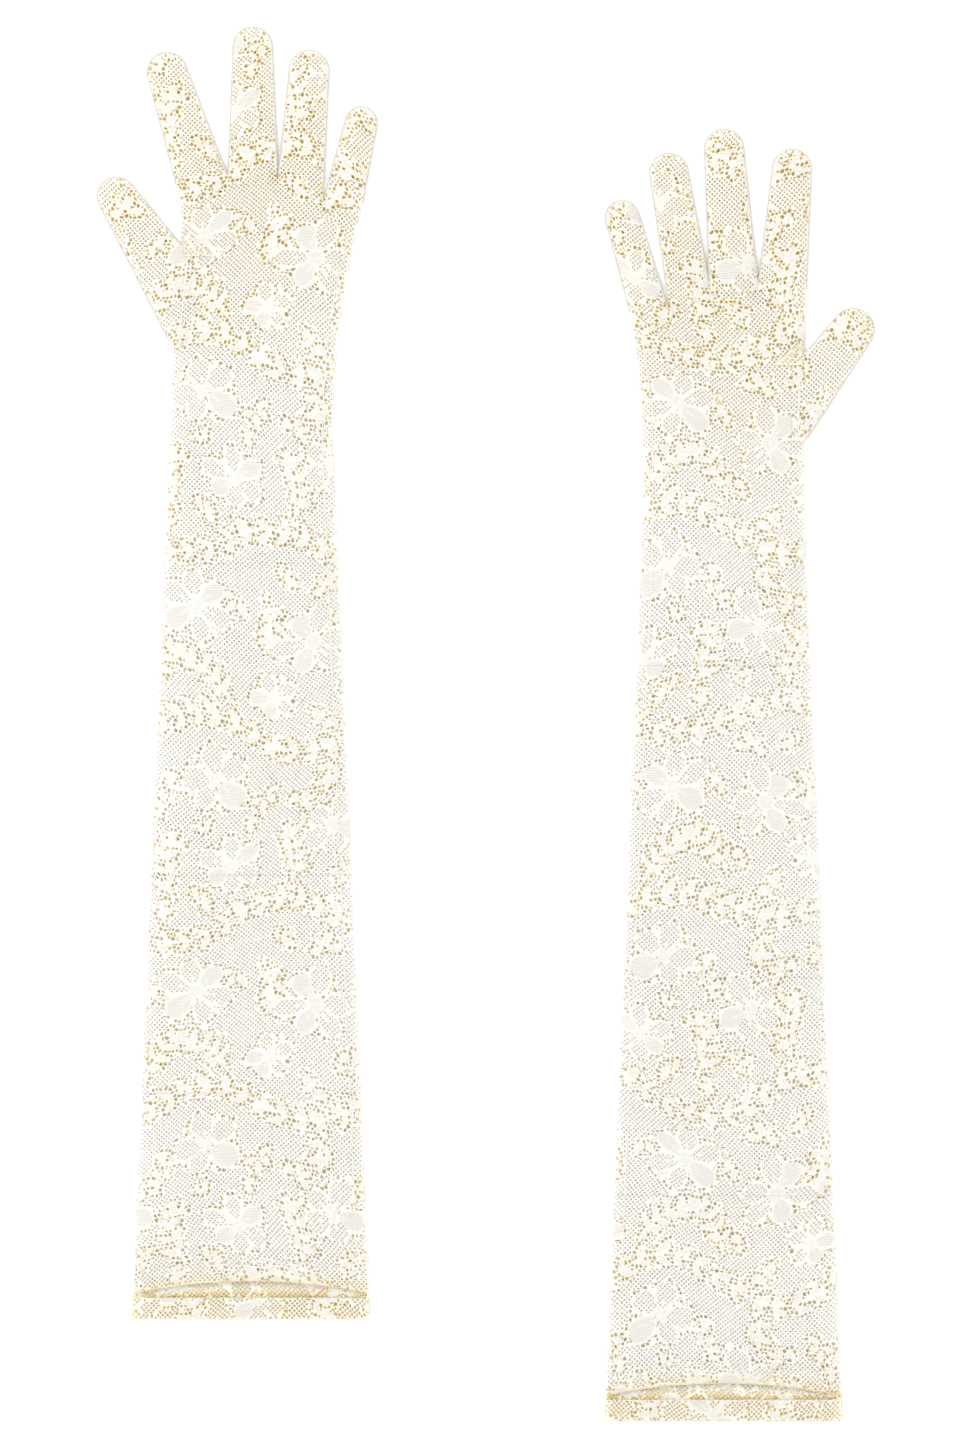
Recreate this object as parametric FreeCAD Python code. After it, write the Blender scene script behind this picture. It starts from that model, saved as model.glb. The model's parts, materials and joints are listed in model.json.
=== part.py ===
import FreeCAD, Part
import math
import os

# A pair of opera-length lace gloves lying on a table, palm side up, fingers towards +Y.
# The origin is on the table, under the middle of the pair. Lengths are in millimetres.
# Each glove is drawn in its own frame: x towards the thumb, y from the wrist to the fingertips,
# z up from the table. The left glove is the mirror image of that frame, the right one is not.

# Cloth and the way it lies
LOFT = 8.0              # height of a glove lying loosely on the table
CLOTH = 1.1             # wall of the lace tube, with the air in its mesh
EDGE_ROUND = 2.2        # rounding along the folded edges
BEND_GAP = 0.3          # clearance between two stretches that bend against each other

# Arm, measured from the wrist towards the arm opening
WRIST_WIDTH = 73.5
OPENING_WIDTH = 107.5
ELBOW_DISTANCE = 250.0
OPENING_DISTANCE = 400.0

# Hem at the arm opening
HEM_DEPTH = 10.0        # how far the lace is turned in
HEM_LAYER = 0.5         # thickness of the turned-in layer
UPPER_EDGE_SIDE = 11.0  # set-back of the upper layer's edge at the two sides
UPPER_EDGE_MIDDLE = 17.5

# Seams
SEAM_BEAD = 0.5         # how far a seam stands proud
FINGER_SEAM_HEIGHT = 1.2
FINGER_SEAM_START = 8.0  # a finger seam starts this far from the knuckle
SIDE_SEAM_INSET = 5.0   # the side seam has rolled this far in from the folded edge
SIDE_SEAM_WIDTH = 1.4
SEAM_TO_BEND = 4.0      # a seam stops this far from a bend
STITCH_WIDTH = 0.8
STITCH_HEIGHT = 0.3
WRIST_LIP = 2.0         # the hand's mouth at the wrist starts this far in from its edges
CUT_REACH = 4.0         # how far a cutting tool runs past what it cuts
SAME_LEVEL = 0.01       # two heights closer than this are one level
SAME_SPOT = 0.05        # two spots closer than this are one spot

# Thumb quirk, a flat fold at the crotch between thumb and index finger
QUIRK_REACH = 13.0
QUIRK_RISE = 6.0
QUIRK_DROP = 6.0

# Each finger: knuckle centre, splay towards the thumb in degrees, length, width, tip radius.
# Each thumb: the two ends of its set-in seam, then the centre and radius of its tip.
GLOVES = {
    "left": {
        "centre_x": -105.6,
        "wrist_y": 132.0,
        "mirrored": True,
        "fingers": {
            "index": (21.9, 111.5, 17.8, 61.0, 23.5, 9.0),
            "middle": (-0.7, 116.2, 0.0, 65.2, 22.0, 8.9),
            "ring": (-22.3, 112.0, -4.3, 59.0, 20.6, 9.0),
            "little": (-41.3, 102.5, -12.9, 44.0, 17.6, 7.3),
        },
        "thumb": ((31.5, 84.0), (35.3, 37.0), (60.5, 105.2), 8.7),
        "palm_edge": (-40.2, 50.0),
    },
    "right": {
        "centre_x": 106.8,
        "wrist_y": 86.1,
        "mirrored": False,
        "fingers": {
            "index": (26.3, 108.5, 4.7, 64.0, 22.0, 8.8),
            "middle": (4.5, 113.2, -4.1, 68.3, 21.8, 8.9),
            "ring": (-15.7, 109.0, -9.5, 62.2, 19.2, 8.7),
            "little": (-33.6, 100.0, -16.0, 51.0, 17.0, 7.7),
        },
        "thumb": ((36.9, 81.0), (36.3, 40.0), (58.3, 91.2), 9.5),
        "palm_edge": (-37.0, 55.0),
    },
}
FINGERS = ("index", "middle", "ring", "little")


def point(x, y, z=0.0):
    return FreeCAD.Vector(x, y, z)


def polygon(points):
    return Part.Face(Part.makePolygon(points + [points[0]]))


def slab(face, bottom, top):
    """A flat face, drawn at z = 0, made into a solid between two heights."""
    low = face.copy()
    low.translate(point(0, 0, bottom))
    return low.extrude(point(0, 0, top - bottom))


def round_edges(solid, spots):
    """Round the bottom and top edges whose middles lie over the given spots."""
    chosen = []
    for edge in solid.Edges:
        middle = edge.CenterOfMass
        for spot in spots:
            level = min(abs(middle.z), abs(middle.z - LOFT)) < SAME_LEVEL
            if level and math.hypot(middle.x - spot.x, middle.y - spot.y) < SAME_SPOT:
                chosen.append(edge)
    return solid.makeFillet(EDGE_ROUND, chosen)


# Fingers and thumbs -----------------------------------------------------------------------------

def finger_frame(finger):
    """Knuckle corners on the thumb side and on the little side, tip centre, tip radius."""
    base_x, base_y, splay, length, width, tip_radius = finger
    lean = math.radians(splay)
    along = point(math.sin(lean), math.cos(lean))
    across = point(math.cos(lean), -math.sin(lean))
    base = point(base_x, base_y)
    thumb_corner = base + across * (width / 2)
    little_corner = base - across * (width / 2)
    return thumb_corner, little_corner, base + along * (length - tip_radius), tip_radius


def thumb_frame(thumb):
    """The same four values for a thumb. Its low corner is on the outside of the hand."""
    crotch, low, centre, tip_radius = thumb
    return point(*low), point(*crotch), point(*centre), tip_radius


def tangent_point(outside, centre, radius, turn):
    """Where the line from a point outside a circle touches it, on the side that turn gives."""
    reach = outside.distanceToPoint(centre)
    towards = math.atan2(outside.y - centre.y, outside.x - centre.x)
    angle = towards + turn * math.acos(radius / reach)
    return centre + point(radius * math.cos(angle), radius * math.sin(angle))


def directions(frame):
    """Unit vectors across a finger's mouth, and out of it towards the tip."""
    first, second, centre, tip_radius = frame
    across = (first - second).normalize()
    outward = point(-across.y, across.x)
    if outward.dot(centre - first) < 0:
        outward = outward * -1
    return across, outward


def digit_outline(frame, grow=0.0, back=0.0):
    """Outline edges of a finger or thumb, grown or shrunk all round, and longer at its base."""
    first, second, centre, tip_radius = frame
    across, outward = directions(frame)
    first = first + across * grow - outward * back
    second = second - across * grow - outward * back
    radius = tip_radius + grow
    first_touch = tangent_point(first, centre, radius, 1)
    second_touch = tangent_point(second, centre, radius, -1)
    bisector = ((first_touch - centre) + (second_touch - centre)).normalize()
    if bisector.dot(outward) < 0:
        bisector = bisector * -1
    crown = centre + bisector * radius
    return [
        Part.LineSegment(second, second_touch).toShape(),
        Part.Arc(second_touch, crown, first_touch).toShape(),
        Part.LineSegment(first_touch, first).toShape(),
        Part.LineSegment(first, second).toShape(),
    ]


def digit_face(frame, grow=0.0, back=0.0):
    return Part.Face(Part.Wire(digit_outline(frame, grow, back)))


def digit_cavity(frame):
    """The space inside a finger or thumb, running back through its mouth."""
    return slab(digit_face(frame, -CLOTH, CUT_REACH), CLOTH, LOFT - CLOTH)


def digit_sheath(frame):
    """A finger or thumb of the glove: a closed tip, an open mouth and rounded edges."""
    outline = digit_outline(frame)
    body = slab(Part.Face(Part.Wire(outline)), 0, LOFT)
    body = round_edges(body, [edge.CenterOfMass for edge in outline[:3]])
    return body.cut(digit_cavity(frame))


def digit_seam(frame):
    """The bead of the seam that runs round a finger or thumb at half its height."""
    bottom = (LOFT - FINGER_SEAM_HEIGHT) / 2
    top = bottom + FINGER_SEAM_HEIGHT
    bead = slab(digit_face(frame, SEAM_BEAD), bottom, top)
    bead = bead.cut(slab(digit_face(frame), bottom, top))
    first, second, centre, tip_radius = frame
    across, outward = directions(frame)
    side = across * CUT_REACH
    start = outward * FINGER_SEAM_START
    root = polygon([
        first + side - start,
        first + side + start,
        second - side + start,
        second - side - start,
    ])
    return bead.cut(slab(root, 0, LOFT))


# Hand -------------------------------------------------------------------------------------------

def hand_mouth(frame):
    """The two ends of a finger's or thumb's mouth on the hand, just clear of the digit."""
    first, second, centre, tip_radius = frame
    across, outward = directions(frame)
    return first - outward * BEND_GAP, second - outward * BEND_GAP


def at_x(start, end, x):
    """The point of a line, or of the line carried on, at a given x."""
    share = (x - start.x) / (end.x - start.x)
    return start + (end - start) * share


def knuckle_line(glove):
    """Corners of the hand along the four finger mouths, with an upright step at each crotch."""
    mouths = [hand_mouth(finger_frame(glove["fingers"][name])) for name in FINGERS]
    corners = [mouths[0][0]]
    for mouth, following in zip(mouths[:-1], mouths[1:]):
        if mouth[1].y > following[0].y:
            step_x = max(mouth[1].x, following[0].x + BEND_GAP)
        else:
            step_x = min(following[0].x, mouth[1].x - BEND_GAP)
        corners.append(at_x(*mouth, step_x))
        corners.append(at_x(*following, step_x))
    return corners + [mouths[-1][1]]


def moved_in(corners, distance):
    """Corners of a closed outline, drawn anticlockwise, moved in by a distance."""
    moved = []
    for index, corner in enumerate(corners):
        arriving = (corner - corners[index - 1]).normalize()
        leaving = (corners[(index + 1) % len(corners)] - corner).normalize()
        inward = point(-arriving.y, arriving.x) + point(-leaving.y, leaving.x)
        moved.append(corner + inward * (2 * distance / inward.dot(inward)))
    return moved


def hand_outline(glove, inset=0.0):
    """Outline edges of the hand. The first runs along its little-finger side."""
    low, crotch = hand_mouth(thumb_frame(glove["thumb"]))
    little_wrist = point(-WRIST_WIDTH / 2, BEND_GAP)
    thumb_wrist = point(WRIST_WIDTH / 2, BEND_GAP)
    corners = [little_wrist, thumb_wrist, low, crotch] + knuckle_line(glove)
    corners = moved_in(corners + [point(*glove["palm_edge"])], inset)
    side = Part.BSplineCurve()
    side.interpolate([corners[-2], corners[-1], corners[0]])
    lines = []
    for start, end in zip(corners[:-2], corners[1:-1]):
        lines.append(Part.LineSegment(start, end).toShape())
    return [side.toShape()] + lines


def hand_shell(glove):
    """The hand of the trank, open at the wrist, at the four fingers and at the thumb."""
    outline = hand_outline(glove)
    body = slab(Part.Face(Part.Wire(outline)), 0, LOFT)
    body = round_edges(body, [outline[0].CenterOfMass, outline[2].CenterOfMass])
    inside = Part.Face(Part.Wire(hand_outline(glove, CLOTH)))
    body = body.cut(slab(inside, CLOTH, LOFT - CLOTH))
    half_mouth = WRIST_WIDTH / 2 - WRIST_LIP
    mouth = polygon([
        point(-half_mouth, -CUT_REACH),
        point(half_mouth, -CUT_REACH),
        point(half_mouth, CUT_REACH),
        point(-half_mouth, CUT_REACH),
    ])
    body = body.cut(slab(mouth, CLOTH, LOFT - CLOTH))
    for name in FINGERS:
        body = body.cut(digit_cavity(finger_frame(glove["fingers"][name])))
    return body.cut(digit_cavity(thumb_frame(glove["thumb"])))


def strip_on_palm(points, width, bottom, height):
    """A flat strip along the given points, lying on a level surface."""
    left = []
    right = []
    last = len(points) - 1
    for index, middle in enumerate(points):
        run = (points[min(index + 1, last)] - points[max(index - 1, 0)]).normalize()
        across = point(-run.y, run.x) * (width / 2)
        left.append(middle + across)
        right.append(middle - across)
    return slab(polygon(left + right[::-1]), bottom, bottom + height)


def hand_side_seam(glove):
    little_corner = finger_frame(glove["fingers"]["little"])[1]
    inset = point(SIDE_SEAM_INSET, 0)
    start = point(-WRIST_WIDTH / 2, SEAM_TO_BEND) + inset
    middle = point(*glove["palm_edge"]) + inset
    end = little_corner + inset - point(0, 2 * SEAM_TO_BEND)
    return strip_on_palm([start, middle, end], SIDE_SEAM_WIDTH, LOFT, SEAM_BEAD)


def thumb_set_in_seam(glove):
    """The seam between thumb and palm, a little inside the thumb's mouth."""
    crotch, low, centre, tip_radius = glove["thumb"]
    inset = point(-2 * SIDE_SEAM_WIDTH, 0)
    start = point(*low) + inset
    end = point(*crotch) + inset - point(0, QUIRK_DROP + SIDE_SEAM_WIDTH)
    return strip_on_palm([start, end], SIDE_SEAM_WIDTH, LOFT, SEAM_BEAD)


def thumb_quirk(glove):
    """The folded triangle of lace that gives the crotch of the thumb its room."""
    crotch = point(*glove["thumb"][0]) + point(-SIDE_SEAM_WIDTH, 0)
    triangle = polygon([
        crotch + point(0, QUIRK_RISE),
        crotch + point(-QUIRK_REACH, -QUIRK_DROP),
        crotch + point(0, -QUIRK_DROP),
    ])
    return slab(triangle, LOFT, LOFT + SEAM_BEAD)


# Sleeves ----------------------------------------------------------------------------------------

def sleeve_half_width(distance):
    """Half the flat width of the sleeve at a distance from the wrist."""
    share = distance / OPENING_DISTANCE
    return (WRIST_WIDTH + (OPENING_WIDTH - WRIST_WIDTH) * share) / 2


def sleeve_face(near, far, inset=0.0, reach=0.0):
    """The flat shape of the sleeve between two distances from the wrist."""
    near_half = sleeve_half_width(near) - inset
    far_half = sleeve_half_width(far) - inset
    return polygon([
        point(-near_half, -near + reach),
        point(-far_half, -far - reach),
        point(far_half, -far - reach),
        point(near_half, -near + reach),
    ])


def sleeve_tube(near, far):
    face = sleeve_face(near, far)
    body = slab(face, 0, LOFT)
    sides = [edge.CenterOfMass for edge in (face.Edges[0], face.Edges[2])]
    body = round_edges(body, sides)
    return body.cut(slab(sleeve_face(near, far, CLOTH, CUT_REACH), CLOTH, LOFT - CLOTH))


def upper_edge_curve(rise):
    """The bowed edge of the upper layer at the arm opening, moved up the sleeve by rise."""
    half = OPENING_WIDTH / 2 + CUT_REACH
    side_y = -OPENING_DISTANCE + UPPER_EDGE_SIDE + rise
    middle_y = -OPENING_DISTANCE + UPPER_EDGE_MIDDLE + rise
    return point(-half, side_y), point(0, middle_y), point(half, side_y)


def below_upper_edge(rise):
    """Everything on the opening's side of the upper layer's edge."""
    start, middle, end = upper_edge_curve(rise)
    floor_y = -OPENING_DISTANCE - CUT_REACH
    edges = [
        Part.Arc(start, middle, end).toShape(),
        Part.LineSegment(end, point(end.x, floor_y)).toShape(),
        Part.LineSegment(point(end.x, floor_y), point(start.x, floor_y)).toShape(),
        Part.LineSegment(point(start.x, floor_y), start).toShape(),
    ]
    return Part.Face(Part.Wire(edges))


def upper_arm_sleeve():
    """The sleeve from the elbow to the arm opening. Its upper layer ends further in."""
    body = sleeve_tube(ELBOW_DISTANCE + BEND_GAP, OPENING_DISTANCE)
    return body.cut(slab(below_upper_edge(0), LOFT / 2, LOFT + CUT_REACH))


def arc_band(depth, start_rise, bottom, top):
    """A band of the upper layer that follows its bowed edge."""
    band = below_upper_edge(start_rise + depth).cut(below_upper_edge(start_rise))
    inside = sleeve_face(ELBOW_DISTANCE, OPENING_DISTANCE, EDGE_ROUND)
    return slab(band.common(inside).Faces[0], bottom, top)


def straight_band(depth, start_rise, bottom, top):
    """A band of the lower layer along its straight edge."""
    far = OPENING_DISTANCE - start_rise
    return slab(sleeve_face(far - depth, far, EDGE_ROUND), bottom, top)


def hem_band():
    """The lace turned in at the arm opening, under the upper layer and on the lower one."""
    upper = arc_band(HEM_DEPTH, 0, LOFT - CLOTH - HEM_LAYER, LOFT - CLOTH)
    lower = straight_band(HEM_DEPTH, 0, CLOTH, CLOTH + HEM_LAYER)
    return Part.makeCompound([upper, lower])


def hem_stitching():
    """The line of stitches that holds the hem, outside the upper layer and inside the lower."""
    upper = arc_band(STITCH_WIDTH, HEM_DEPTH - STITCH_WIDTH, LOFT, LOFT + STITCH_HEIGHT)
    bottom = CLOTH + HEM_LAYER
    lower = straight_band(STITCH_WIDTH, HEM_DEPTH - STITCH_WIDTH, bottom, bottom + STITCH_HEIGHT)
    return Part.makeCompound([upper, lower])


def sleeve_side_seam(near, far):
    """The straight stretch of the side seam between two distances from the wrist."""
    start = point(-sleeve_half_width(near) + SIDE_SEAM_INSET, -near)
    end = point(-sleeve_half_width(far) + SIDE_SEAM_INSET, -far)
    return strip_on_palm([start, end], SIDE_SEAM_WIDTH, LOFT, SEAM_BEAD)


# The pair ---------------------------------------------------------------------------------------

def place(solid, glove):
    """Move a piece from its glove's own frame to its place on the table."""
    placed = solid.copy()
    if glove["mirrored"]:
        placed = placed.mirror(point(0, 0, 0), point(1, 0, 0))
    placed.translate(point(glove["centre_x"], glove["wrist_y"], 0))
    return placed


def glove_pieces(glove):
    last_seam = OPENING_DISTANCE - UPPER_EDGE_SIDE - HEM_DEPTH - 2 * SEAM_TO_BEND
    pieces = {
        "hand": hand_shell(glove),
        "hand_side_seam": hand_side_seam(glove),
        "thumb_set_in_seam": thumb_set_in_seam(glove),
        "thumb_quirk": thumb_quirk(glove),
        "forearm_sleeve": sleeve_tube(0, ELBOW_DISTANCE),
        "forearm_side_seam": sleeve_side_seam(SEAM_TO_BEND, ELBOW_DISTANCE - SEAM_TO_BEND),
        "upper_arm_sleeve": upper_arm_sleeve(),
        "upper_arm_side_seam": sleeve_side_seam(ELBOW_DISTANCE + SEAM_TO_BEND, last_seam),
        "hem_band": hem_band(),
        "hem_stitching": hem_stitching(),
        "thumb": digit_sheath(thumb_frame(glove["thumb"])),
        "thumb_seam": digit_seam(thumb_frame(glove["thumb"])),
    }
    for name in FINGERS:
        frame = finger_frame(glove["fingers"][name])
        pieces[name + "_finger"] = digit_sheath(frame)
        pieces[name + "_finger_seam"] = digit_seam(frame)
    return pieces


os.makedirs("parts", exist_ok=True)
for side, glove in GLOVES.items():
    for name, solid in glove_pieces(glove).items():
        place(solid, glove).exportStep("parts/" + side + "_" + name + ".step")
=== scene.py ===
"""A pair of ivory lace opera gloves laid flat, palm side up, on a pale table.

Every length is in metres. Each glove is worked out in its own flat frame, x towards the thumb and
y from the wrist to the fingertips, from the outline of its CAD nodes. The lace is real geometry:
threads with holes between them, drawn by one repeating pattern of net, flowers and leaves.
"""

import bpy
import json
import math
import numpy as np
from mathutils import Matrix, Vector


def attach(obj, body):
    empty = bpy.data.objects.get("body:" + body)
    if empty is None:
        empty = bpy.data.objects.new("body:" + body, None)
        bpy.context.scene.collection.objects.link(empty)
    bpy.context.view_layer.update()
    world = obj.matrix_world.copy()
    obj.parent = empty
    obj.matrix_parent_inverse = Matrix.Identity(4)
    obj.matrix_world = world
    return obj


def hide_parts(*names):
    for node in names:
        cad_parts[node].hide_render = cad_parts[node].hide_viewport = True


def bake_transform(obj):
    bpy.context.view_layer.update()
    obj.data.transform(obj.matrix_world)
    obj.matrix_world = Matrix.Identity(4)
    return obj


MM = 0.001
SIDES = ("left", "right")
FINGERS = ("index", "middle", "ring", "little")

# Lace: the pattern repeats over a tile, and its finest holes sit on every fourth step of a grid
STEP = 0.54 * MM
TILE_COLUMNS = 176
TILE_ROWS = 312
TILE_WIDTH = TILE_COLUMNS * STEP
TILE_LENGTH = TILE_ROWS * STEP
NET_HOLE = 0.94             # reach of a net hole, in steps
CELL_SIZE = 1.95 * MM       # open ground round the flowers and leaves
CELL_THREAD = 0.38 * MM
CELL_REACH = 2.4 * MM
CORD = 0.38 * MM            # raised thread round a petal or leaf
CORD_RISE = 0.2 * MM
RIB_PITCH = 1.1 * MM
PETAL_HOLE = 0.6            # reach of a hole in a petal of fine net, in steps
PETAL_FLATNESS = 0.9        # how the gap to a petal's or leaf's side compares with the true distance
LEAF_FLATNESS = 0.85
FILLINGS = ("net", "solid", "net", "net", "net", "solid", "net")
VEIN = 0.3 * MM             # half the width of the vein of a petal
STEM = 0.25 * MM            # half the width of a stem
THREAD_DEPTH = 0.22 * MM    # half the thickness of a thread
THREAD_SHOULDER = 0.5 * MM
BORDER_THREAD = 0.3 * MM    # depth of the plain thread that runs along every edge of the cloth
LAYER_BORDER = 0.55 * MM    # width of that thread on the layers of the tube
PATCH_BORDER = 0.5 * MM     # and on the hem and the quirk
NO_THREAD = -1.0            # a depth that no thread has
FAR = 1.0                   # a distance that is further than anything on a glove
SEED = 11

# Where the pattern starts on each layer, in steps, and how much more the lower layer has pulled
RIGHT_SHIFT = (84, 60)
LOWER_SHIFT = (48, 140)
LOWER_PHASE = 1.3
HEM_UPPER_SHIFT = (96, 200)
HEM_LOWER_SHIFT = (20, 60)
QUIRK_SHIFT = (60, 100)

# Painted shade, from 0 for clean white thread to 1 for gold and 2 for dark brown: the gold and brown
# stand in for shade and warm light bounced between the layers
SHADE_UNDER_HOLES = 0.42          # painted shade on the lower layer under the open ground of the upper one
EDGE_SHADE = 0.28          # painted shade along the upper layer's edge at the opening
EDGE_SHADE_REACH = 2.5 * MM
EDGE_RIM_SHADE = 0.9
EDGE_RIM_SHADE_REACH = 4 * MM
BARE_SHADE = 0.1           # painted shade on the lower layer where the upper one ends short of it
DARKEST_SHADE = 1.7               # darkest painted shade, on rims just above the hem and where two fingers meet
# Painted shadow on the hole rims above the hem, fading upwards to its least
SHADOW_REACH = 2.5 * MM
SHADOW_LEAST = 0.45
RIM_FADE = 1.5 * MM         # painted shade at the rims is clean on the outline and full this far in

# How a glove lies
REST_HEIGHT = 0.5 * MM      # lower layer above the table
EDGE_HEIGHT = 1.9 * MM      # folded edges and finger seams
PUFF = 2.8 * MM
PUFF_REACH = 4.0 * MM
FLAT_PUFF = 0.3             # share of the puff that is left at the opening
FLAT_REACH = 45 * MM
TUCK_REACH = 1.6 * MM
RIPPLE = 0.35 * MM
DEEP = 24 * MM              # further in than this, the outline no longer matters

# Where a soft piece would start and end its bend, measured from the joint; the ends are worked out but
# nothing bends
DIGIT_OVERLAP = 6 * MM
DIGIT_BEND = (-2 * MM, 10 * MM)
SLEEVE_BEND = 16 * MM
ELBOW_CUTS = (-48 * MM, 50 * MM)    # where the sleeve's sheets end, from the elbow
PALM_CUT = -60 * MM                 # and from the wrist
FIRST_SECTION = 10                  # digits own the keys below this, stretches of sleeve the rest
OWNER_MARGIN = 1.5 * MM
PUCKER_SHADE_REACH = 4 * MM       # painted shade on the lace where two fingers meet

# Hem and seams
HEM_DEPTH = 10 * MM
HEM_GAP = 0.9 * MM
SHADOW_ROW = 1.2 * MM        # painted shadow on the row of lace just above the turned-in hem
SEAM_WIDTH = 0.6 * MM
STITCH_LENGTH = 2.0 * MM
STITCH_GAP = 1.0 * MM
STITCH_INSET = 0.6 * MM     # the stitches run this far from the inner edge of the hem
BEAD_STEP = 0.35 * MM
BEAD_TAPER = 0.8 * MM
BEAD_SIDES = 8

# Colours
CLEAN_THREAD = (0.975, 0.975, 0.965)
WORKED_THREAD = (0.94, 0.94, 0.93)
# Painted shade: gold and brown that stand in for shade and warm light bounced between the layers of
# lace
SHADE_GOLD = (0.80, 0.605, 0.13)
PALE_SHADE_GOLD = (0.88, 0.715, 0.27)
SHADE_BROWN = (0.36, 0.22, 0.05)
DULL_FIBRE = (0.88, 0.85, 0.78)
# painted shade in the grooves between ribs
GROOVE_SHADE = (0.77, 0.76, 0.72)
SEAM_THREAD = ((0.68, 0.66, 0.60), (0.62, 0.59, 0.51))
# partly painted shade: the finger seams are real thread, darkened grey to stand in for the shade along
# the folded edge
SHADED_FINGER_SEAM_THREAD = ((0.56, 0.55, 0.51), (0.48, 0.46, 0.41))
# painted shade: the rolled folds at the opening are darkened beige to stand in for the shade along the
# fold
SHADED_HEM_FOLD = ((0.76, 0.70, 0.56), (0.68, 0.60, 0.44))
TABLE = ((0.94, 0.94, 0.94), (0.96, 0.96, 0.96))
LIGHT_THROUGH = 0.58        # share of the light that a thread passes on

# Light
WORLD_STRENGTH = 1.42
KEY_PLACE = (-1.2, 1.0, 2.2)
KEY_SIZE = 1.6
KEY_POWER = 26

# Camera over the table
VIEW_CENTRE = (-1.1 * MM, -0.5 * MM)
VIEW_LENGTH = 652.5 * MM
CAMERA_HEIGHT = 2.6
SENSOR = 36.0

random = np.random.default_rng(SEED)
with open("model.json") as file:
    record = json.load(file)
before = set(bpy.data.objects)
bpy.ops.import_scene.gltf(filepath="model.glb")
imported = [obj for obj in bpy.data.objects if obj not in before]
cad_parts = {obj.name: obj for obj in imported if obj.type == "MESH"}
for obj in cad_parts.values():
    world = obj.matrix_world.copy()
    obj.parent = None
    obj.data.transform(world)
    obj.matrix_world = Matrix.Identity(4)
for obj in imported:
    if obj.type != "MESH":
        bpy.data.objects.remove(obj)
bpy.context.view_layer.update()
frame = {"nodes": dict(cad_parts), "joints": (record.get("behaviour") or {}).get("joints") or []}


# Reading the CAD ---------------------------------------------------------------------------------

def joint(name):
    for entry in frame["joints"]:
        if entry["name"] == name:
            return entry
    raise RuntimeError(f"the record has no joint named {name}")


def node_points(node):
    mesh = frame["nodes"][node].data
    points = np.zeros(len(mesh.vertices) * 3)
    mesh.vertices.foreach_get("co", points)
    return points.reshape(-1, 3)


def node_edges(node):
    mesh = frame["nodes"][node].data
    pairs = np.zeros(len(mesh.edges) * 2, dtype=int)
    mesh.edges.foreach_get("vertices", pairs)
    return pairs.reshape(-1, 2)


class Glove:
    """The flat frame of one glove, and what its CAD nodes say about its shape."""

    def __init__(self, side):
        self.side = side
        self.origin = np.array(joint(f"{side}_wrist_bend")["pos_m"])
        thumb = node_points(f"{side}_thumb")
        self.turn = 1.0 if thumb[:, 0].mean() > self.origin[0] else -1.0
        self.digits = {}

    def local(self, points):
        flat = np.array(points, float)
        flat = flat[..., :2] - self.origin[:2]
        flat[..., 0] *= self.turn
        return flat

    def world(self, points):
        placed = np.array(points, float)
        placed[:, 0] = self.origin[0] + self.turn * placed[:, 0]
        placed[:, 1] = self.origin[1] + placed[:, 1]
        return placed

    def name(self, part):
        return f"{self.side}_{part}"


def across_node(glove, node, heights):
    """The lowest and highest x of a node at each of the given y."""
    flat = glove.local(node_points(glove.name(node)))
    pairs = node_edges(glove.name(node))
    start = flat[pairs[:, 0]]
    end = flat[pairs[:, 1]]
    spans = []
    for y in heights:
        crossing = (start[:, 1] - y) * (end[:, 1] - y) < 0
        first = start[crossing]
        last = end[crossing]
        share = (y - first[:, 1]) / (last[:, 1] - first[:, 1])
        x = first[:, 0] + share * (last[:, 0] - first[:, 0])
        spans.append((x.min(), x.max()))
    return np.array(spans)


def reach_of_node(glove, node):
    """The lowest and highest y of a node, just inside its ends."""
    flat = glove.local(node_points(glove.name(node)))
    margin = 0.05 * MM
    return flat[:, 1].min() + margin, flat[:, 1].max() - margin


HULL_DIGITS = 7             # points closer than the last of these digits of a metre are one
STRAIGHT = 1e-12            # a turn whose cross product is below this is no turn


def hull(points):
    """The convex outline of flat points, anticlockwise."""
    ordered = sorted(set(map(tuple, np.round(points, HULL_DIGITS))))

    def chain(sequence):
        kept = []
        for p in sequence:
            while len(kept) > 1:
                (ax, ay), (bx, by) = kept[-2], kept[-1]
                if (bx - ax) * (p[1] - ay) - (by - ay) * (p[0] - ax) > STRAIGHT:
                    break
                kept.pop()
            kept.append(p)
        return kept[:-1]

    return np.array(chain(ordered) + chain(ordered[::-1]))


class Digit:
    """A finger or thumb: its mouth, the way it points, and its outline round the tip."""

    def __init__(self, glove, name, node, joint_name):
        flat = glove.local(node_points(glove.name(node)))
        entry = joint(glove.name(joint_name))
        self.name = name
        self.node = node
        self.base = glove.local(entry["pos_m"])
        axis = np.array([glove.turn * entry["axis"][0], entry["axis"][1]])
        self.across = axis / np.linalg.norm(axis)
        self.along = np.array([-self.across[1], self.across[0]])
        if (flat.mean(axis=0) - self.base) @ self.along < 0:
            self.along = -self.along
        outline = hull(flat)
        at_mouth = (outline - self.base) @ self.along < 0.6 * MM
        last = len(outline)
        first = [k for k in range(last) if at_mouth[k] and not at_mouth[(k + 1) % last]][0]
        around = np.roll(outline, -first, axis=0)
        around = around[~np.roll(at_mouth, -first)]
        mouth = outline[at_mouth]
        side = (mouth - self.base) @ self.across
        corners = mouth[side.argmin()], mouth[side.argmax()]
        start, end = sorted(corners, key=lambda corner: np.linalg.norm(corner - outline[first]))
        self.outline = np.vstack([start, around, end])
        self.length = ((outline - self.base) @ self.along).max()
        self.root = np.vstack([
            self.outline[[0, -1]],
            self.outline[[-1, 0]] - self.along * DIGIT_OVERLAP,
        ])
        self.half_width = abs((self.outline[0] - self.outline[-1]) @ self.across) / 2
        self.middle = (self.outline[0] + self.outline[-1]) / 2


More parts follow.
